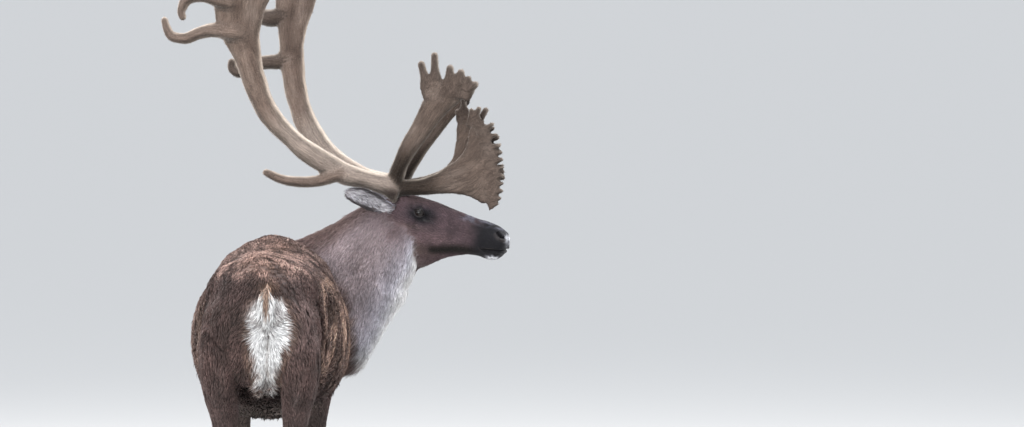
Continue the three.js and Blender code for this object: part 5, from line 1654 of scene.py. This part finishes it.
def build_antler(side):
    label_ = "right" if side < 0 else "left"
    table, rear, bez_t, bez_p, brow_t, brow_p = ((BEAM, REAR_TINES, BEZ, BEZ_POINTS, BROW_NEAR, BROW_NEAR_POINTS) if side < 0 else
                                                 (BEAM_LEFT, REAR_TINES_LEFT, BEZ_LEFT, BEZ_LEFT_POINTS, BROW_FAR, BROW_FAR_POINTS))
    parts = [fine_blade(table, side, 120, 34, 2.1), fine_blade(bez_t, side, 60, 30, 2.3, (0, 1)), fine_blade(brow_t, side, 60, 30, 2.3, (0, 1))]
    parts += [fine_tine(t, side, 34, 20) for t in CROWN_TINES + rear + ([BACK_TINE] if side < 0 else [])]
    stubs = len(parts)
    parts += [knob(p, side) for p in bez_p + brow_p + (SMALL_POINTS if side < 0 else SMALL_POINTS_FAR)]
    meshes, places = [m for m, _ in parts], np.concatenate([w for _, w in parts])
    source = np.concatenate([m[0] for m in meshes])
    kind = np.concatenate([np.full(len(m[0]), i) for i, m in enumerate(meshes)])
    ob = voxel_union(meshes, 4.2, f"antler_{label_}")
    me = ob.data
    p, e, t = points(me), edges(me), triangles(me)
    p = relax(p, e, np.full(len(p), 0.5), 2)
    tree = KDTree(len(source))
    for i, c in enumerate(source):
        tree.insert(c, i)
    tree.balance()
    near = np.array([tree.find(c)[1] for c in p])
    g, part = places[near], kind[near]
    group = np.where(part > 2, 3 + (part >= stubs), part)
    same = np.stack([group == i for i in range(5)], 1).astype(float)
    for _ in range(7):
        same = 0.4 * same + 0.6 * around(same, e, len(p))
    joint = smooth(1 - same.max(1), 0.08, 0.42)
    p = relax(p, e, 0.5 * joint, 45)
    for _ in range(5):
        g = 0.4 * g + 0.6 * around(g, e, len(p))
    n = vertex_normals(p, t)
    h = in_head(p)
    low = np.exp(-np.linalg.norm(h - [-84, 0, 60], axis=1) / 260)
    q = g * [0.14, 1, 1]
    d = 1.5 * noise(q, 15, 61) + 0.8 * noise(q, 6.5, 62) + 1.2 * noise(g, 40, 63)
    front = np.isin(part, (1, 2)).astype(float)
    d += front * (1.6 * np.abs(noise(q, 13, 64)) - 0.5)
    base = 1 - smooth(np.linalg.norm(h - [-82, 0, 40], axis=1), 46, 92)
    d += base * (2.2 * np.abs(noise(p, 8, 65)) + 1.6)
    p = p + n * d[:, None]
    set_points(me, p)
    n = vertex_normals(p, t)
    far = np.linalg.norm(h - [-84, 0, 40], axis=1)
    beam_low = (part == 0) * (1 - smooth(far, 380, 620))
    tipness = ((part > 2) * smooth(g[:, 0], 50, 130) + (part >= stubs) * 0.5)
    c = velvet_colour(p, g, np.maximum(0.85 * beam_low, base), np.clip(tipness, 0, 1))
    # painted shade: the bez and brow blades darkened near their roots
    front_blade_shade = front * (1 - smooth(np.where(part == 1, g[:, 0], g[:, 0]), 60, 190))
    front_blade_shade = (0.75 * front_blade_shade)[:, None]
    flat = np.abs(n @ LEFT)[:, None]
    for _ in range(14):
        c, front_blade_shade, flat = (0.4 * v + 0.6 * around(v, e, len(p)) for v in (c, front_blade_shade, flat))
    c = mix(c, (60, 50, 43), np.clip(1.15 * front_blade_shade[:, 0], 0, 0.9))
    # painted shade: a dark spot where the antler rises from the head
    c = mix(c, (52, 43, 40), 0.85 * np.exp(-(((h[:, 0] + 92) / 34) ** 2 + ((h[:, 2] - 36) / 20) ** 2)))
    # painted highlight: pale edges where the blades turn side-on, as a rim light shows them, and painted shade on the
    # sloping faces inside them
    rim = (1 - smooth(flat[:, 0], 0.35, 0.85)) * (1 - 0.7 * base)
    c = mix(c, (236, 220, 202), 0.66 * rim)
    c = c * (1 - 0.24 * (1 - rim) * (1 - smooth(flat[:, 0], 0.6, 1.0)))[:, None]
    c = c * (1 - 0.17 * np.isin(part, (1, 2)) - 0.24 * (part >= stubs))[:, None] * (0.84 + 0.02 * np.isin(part, (0, 3, 4, 5, 6)))[:, None]
    # painted shade and highlight: darker where the velvet faces down, lighter where it faces up
    c = c * (1 - 0.34 * smooth(-n[:, 2], 0.0, 0.85) + 0.12 * smooth(n[:, 2], 0.2, 0.9))[:, None]
    # painted shade: the far antler's tines darkened
    if side > 0:
        c = c * (1 - 0.22 * (part > 2) * (part < stubs))[:, None]
    attribute(me, "tint", "FLOAT_COLOR", srgb(*np.clip(c, 5, 250).T).T)
    attribute(me, "grain", "FLOAT_VECTOR", g * [0.10, 1, 1])
    me.polygons.foreach_set("use_smooth", np.ones(len(me.polygons), bool))
    me.materials.clear()
    me.materials.append(VELVET)
    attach(ob, "root")
    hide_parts(*[f"antler_{label_}_{q}" for q in ("beam_lower", "beam_middle", "palm", "rear_tine_lower", "rear_tine_upper", "bez", "brow")])
    if side < 0:
        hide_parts("antler_right_back_tine")
    print("antler", label_, len(p), len(t))

    # the velvet's own short fuzz
    r = np.random.default_rng(300 + side)
    a, b, cc = (p[t[:, k]] for k in range(3))
    area = np.linalg.norm(np.cross(b - a, cc - a), axis=1) / 2 / 100
    total = np.cumsum(area) * 3.6
    m = min(int(total[-1]), 24000)
    i = np.searchsorted(total, (np.arange(m) + r.random(m)) / m * total[-1]).clip(0, len(t) - 1)
    s, u = np.sqrt(r.random(m)), r.random(m)
    w = np.stack([1 - s, s * (1 - u), s * u], 1)
    pick = lambda v: np.einsum("ij,ij...->i...", w, v[t[i]])
    at, nor = pick(p), unit(pick(n))
    # along the blade: the direction in which the place's first number grows
    grad = np.zeros((len(p), 3))
    ev = p[e[:, 1]] - p[e[:, 0]]
    dg = (g[e[:, 1], 0] - g[e[:, 0], 0])[:, None] * ev / np.maximum((ev ** 2).sum(1, keepdims=True), 1e-9)
    for k in range(3):
        grad[:, k] = np.bincount(e[:, 0], dg[:, k], len(p)) + np.bincount(e[:, 1], dg[:, k], len(p))
    for _ in range(4):
        grad = 0.4 * grad + 0.6 * around(grad, e, len(p))
    lie = pick(grad)
    lie = lie - nor * (lie * nor).sum(1, keepdims=True)
    lie = unit(lie + 1e-6)
    side_ = np.cross(nor, lie)
    lie = unit(lie + side_ * (0.35 * noise(at, 30, 71) + 0.3 * r.standard_normal(m))[:, None])
    side_ = np.cross(nor, lie)
    L = 5.6 * (0.7 + 0.6 * r.random((m, 1)))
    W = 1.5 * (0.8 + 0.4 * r.random((m, 1)))
    A = np.radians(38 + 12 * r.standard_normal((m, 1)))
    tip = at + lie * L * np.cos(A) + nor * L * np.sin(A)
    sunk = at - nor * 0.5
    verts = np.stack([sunk - side_ * W / 2, sunk + nor * W * 0.4, sunk + side_ * W / 2, tip], 1)
    colour = pick(c) * (1 + 0.12 * r.standard_normal((m, 1)))
    # painted shade and highlight: the fuzz's roots darkened and its tips paled, as a rim light shows them
    low_c, tip_c = srgb(*np.clip(colour * 0.9, 5, 250).T).T, srgb(*np.clip(colour * 1.25 + 26, 5, 250).T).T
    tint = np.stack([low_c] * 3 + [tip_c], 1)
    sp = np.array(SHORT_SPOTS, float)
    strand = np.stack(np.broadcast_arrays(sp[None, :, 0], sp[None, :, 1], r.random((m, 1))), -1)
    gp = pick(g)
    place = np.stack([np.arctan2(gp[:, 1], gp[:, 2]) * 40 + 140, gp[:, 0] + 20], 1) / 2820 + [0.1 * (side > 0), 0.02]
    many(f"velvet_fuzz_{label_}", verts, SHORT_FACES, SHORT_SPOTS, place, tint, strand, FUR)


VELVET = velvet_material()
build_antler(-1)
build_antler(1)


# ---------------------------------------------------------------- eyes
def eye_material():
    mat, nt, shader = material("eye", 0.12)
    look = node(nt, "ShaderNodeAttribute", attribute_name="look")
    tint = node(nt, "ShaderNodeAttribute", attribute_name="tint")
    flat = node(nt, "ShaderNodeVectorMath", operation="LENGTH")
    linked(nt, scaled(nt, look.outputs["Vector"], (1 / 0.36, 1 / 0.20, 0)), flat.inputs[0])
    pupil = ranged(nt, flat.outputs["Value"], 0.0, 1.0, 0.86, 1.06)
    rays = noise_node(nt, scaled(nt, look.outputs["Vector"], (1, 1, 0)), 26.0, 3.0)
    linked(nt, shaded(nt, shaded(nt, tint.outputs["Color"], ranged(nt, rays, 0.6, 1.4, 0.3, 0.7)), pupil), shader.inputs["Base Color"])
    shader.inputs["Specular IOR Level"].default_value = 0.12
    shader.inputs["Coat Weight"].default_value = 0.55
    shader.inputs["Coat Roughness"].default_value = 0.02
    shader.inputs["Coat IOR"].default_value = 1.38
    return mat


def build_eye(side, mat):
    rows, k = 36, 48
    th = np.linspace(0.02, np.pi - 0.02, rows)[:, None]
    ph = 2 * np.pi * np.arange(k)[None] / k
    r = EYE["r"] + 1.5 * (1 - smooth(np.degrees(th), 12, 42)) + 0 * ph
    d = np.stack([np.sin(th) * np.cos(ph), np.sin(th) * np.sin(ph), np.cos(th) + 0 * ph], -1)
    along, up, axis = (v * [1, -side, 1] for v in (EYE_ALONG, EYE_UP, EYE_AXIS))
    local = (d[..., :1] * along + d[..., 1:2] * up + d[..., 2:] * axis) * r[..., None]
    co, faces = loft(np.ascontiguousarray(H(*(local.reshape(-1, 3) + [EYE["x"], -side * EYE["y"], EYE["z"]]).T).reshape(rows, k, 3)))
    ob = mesh_object(f"eyeball_{'right' if side < 0 else 'left'}", co, faces)
    me = ob.data
    look = np.concatenate([d.reshape(-1, 3), [[0, 0, 1], [0, 0, -1]]])
    out = np.degrees(np.arccos(np.clip(look[:, 2], -1, 1)))
    c = np.tile([24.0, 18, 17], (len(co), 1))
    c = mix(c, (20, 14, 12), smooth(out, 20, 44))
    c = mix(c, (10, 8, 8), smooth(out, 42, 52))
    attribute(me, "tint", "FLOAT_COLOR", srgb(*c.T).T)
    attribute(me, "look", "FLOAT_VECTOR", look)
    me.polygons.foreach_set("use_smooth", np.ones(len(me.polygons), bool))
    me.materials.append(mat)
    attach(ob, "root")
    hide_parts("eye_right" if side < 0 else "eye_left")


EYE_MATERIAL = eye_material()
build_eye(-1, EYE_MATERIAL)
build_eye(1, EYE_MATERIAL)


# ---------------------------------------------------------------- claws
def claw_material():
    mat, nt, shader = material("horn_claw", 0.42)
    where = node(nt, "ShaderNodeTexCoord").outputs["Object"]
    bands = noise_node(nt, scaled(nt, where, (30, 30, 420)), 1.0, 3.0, 0.6)
    grain = noise_node(nt, scaled(nt, where, (700, 700, 60)), 1.0, 2.0)
    ramp = node(nt, "ShaderNodeValToRGB")
    ramp.color_ramp.elements[0].color = (*srgb(26, 22, 21), 1)
    ramp.color_ramp.elements[1].color = (*srgb(74, 64, 58), 1)
    ramp.color_ramp.elements[0].position, ramp.color_ramp.elements[1].position = 0.3, 0.75
    linked(nt, times(nt, times(nt, bands, 0.7), times(nt, grain, 0.3), "ADD"), ramp.inputs["Fac"])
    linked(nt, ramp.outputs["Color"], shader.inputs["Base Color"])
    bumped(nt, shader, bands, 0.5, 0.0014)
    linked(nt, ranged(nt, grain, 0.34, 0.56), shader.inputs["Roughness"])
    return mat


HORN = claw_material()


def build_foot(name):
    z, x, y, half, deep = leg_rows(name, 18)
    fx, fy, sign = x[-1], y[-1], (-1 if name.endswith("left") else 1)
    for word, which in (("outer", 1), ("inner", -1)):
        out = which * sign
        rows = resample([[0, 0.955, 0], [1.5, 0.985, 0], [6, 1.0, 0], [26, 0.91, -5], [CLAW["height"] + 8, 0.71, -16]], 26,
                        lambda r: stack(r[0], r[1] * 20, r[2]))
        a = 2 * np.pi * (np.arange(44) + 0.5) / 44
        size, lean = rows[:, 1:2], rows[:, 2:3]
        along = np.cos(a)[None] * CLAW["length"] / 2 * size
        swell = np.where(np.sin(a) >= 0, np.maximum(np.sin(a), 0) ** 0.8 * (CLAW["width"] - 4), np.sin(a) * 4)[None] * size
        px = fx + out * (CLAW["slit"] / 2 + 4 + swell) - out * np.maximum(0, along) * 0.07
        rings = np.stack([px, fy + 8 + lean + along, np.broadcast_to(rows[:, :1], px.shape)], -1)
        if out < 0:
            rings = rings[:, ::-1]
        claw = mesh_object(f"{name}_hoof_{word}", *loft(np.ascontiguousarray(rings)))
        rows = resample([[DEWCLAW["floor"], 0.42, -10], [DEWCLAW["floor"] + 4, 0.7, -8], [DEWCLAW["floor"] + 14, 0.95, -3],
                         [DEWCLAW["floor"] + DEWCLAW["height"] + 6, 0.72, 16]], 22, lambda r: stack(r[0], r[1] * 15, r[2]))
        c = np.stack([np.full(len(rows), fx + out * 23), fy - 67 + rows[:, 2], rows[:, 0]], 1)
        rings = ring(c, (1, 0, 0), (0, 1, 0), DEWCLAW["width"] / 2 * rows[:, 1], DEWCLAW["length"] / 2 * rows[:, 1],
                     DEWCLAW["length"] / 2 * rows[:, 1], 24)
        dew = mesh_object(f"{name}_dewhoof_{word}", *loft(rings))
        for ob, node_name in ((claw, f"{name}_claw_{word}"), (dew, f"{name}_dewclaw_{word}")):
            ob.data.polygons.foreach_set("use_smooth", np.ones(len(ob.data.polygons), bool))
            ob.data.materials.append(HORN)
            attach(ob, "root")
            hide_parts(node_name)


for _name in LEGS:
    build_foot(_name)


# ---------------------------------------------------------------- floor, lights, camera
def build_stage():
    bm = bmesh.new()
    bmesh.ops.create_circle(bm, cap_ends=True, radius=600, segments=96)
    me = bpy.data.meshes.new("floor")
    bm.to_mesh(me)
    bm.free()
    floor = bpy.data.objects.new("floor", me)
    bpy.context.scene.collection.objects.link(floor)
    mat, nt, shader = material("floor_paper", roughness=0.9)
    shader.inputs["Base Color"].default_value = (*srgb(194, 193, 191), 1)
    floor.data.materials.append(mat)

    world = bpy.data.worlds.new("studio")
    bpy.context.scene.world = world
    world.use_nodes = True
    back = world.node_tree.nodes["Background"]
    back.inputs["Color"].default_value = (0.90, 0.94, 1.0, 1)
    back.inputs["Strength"].default_value = 1.22

    def softbox(name, at, look, size, power, colour):
        light = bpy.data.lights.new(name, "AREA")
        light.shape, light.size, light.size_y, light.energy, light.color = "RECTANGLE", *size, power, colour
        ob = bpy.data.objects.new(name, light)
        ob.location = at
        ob.rotation_mode = "QUATERNION"
        ob.rotation_quaternion = (Vector(look) - Vector(at)).to_track_quat("-Z", "Y")
        ob.visible_camera = False
        bpy.context.scene.collection.objects.link(ob)

    softbox("sky", (0.0, 0.4, 6.5), (0, 0, 0.9), (6, 6), 260, (0.95, 0.97, 1.0))
    softbox("rim_left", (-5.0, 3.6, 3.6), (0, 0, 1.1), (3, 3), 440, (1.0, 0.98, 0.95))
    softbox("rim_right", (5.2, 3.4, 3.8), (0, 0, 1.2), (3, 3), 340, (1.0, 0.98, 0.95))
    softbox("front", (-2.0, -8.0, 3.4), (0, 0, 1.0), (5, 4), 560, (1.0, 0.985, 0.97))


def build_camera():
    a, e = math.radians(2.0), math.radians(3.0)
    right = Vector((math.cos(a), math.sin(a), 0))
    look = Vector((-math.sin(a) * math.cos(e), math.cos(a) * math.cos(e), -math.sin(e)))
    up = right.cross(look)
    camera = bpy.data.objects.new("camera", bpy.data.cameras.new("camera"))
    bpy.context.scene.collection.objects.link(camera)
    place = Vector((1.78933 - ORIGIN[0] / 1000, -29.84817 - ORIGIN[1] / 1000, 2.83810))
    camera.matrix_world = Matrix((
        (right.x, up.x, -look.x, place.x), (right.y, up.y, -look.y, place.y),
        (right.z, up.z, -look.z, place.z), (0, 0, 0, 1)))
    camera.data.lens, camera.data.sensor_width = 334.82, 36
    camera.data.clip_start, camera.data.clip_end = 0.5, 1000
    bpy.context.scene.camera = camera


build_stage()
build_camera()
bpy.context.scene.view_settings.view_transform = VIEW

bpy.context.view_layer.update()
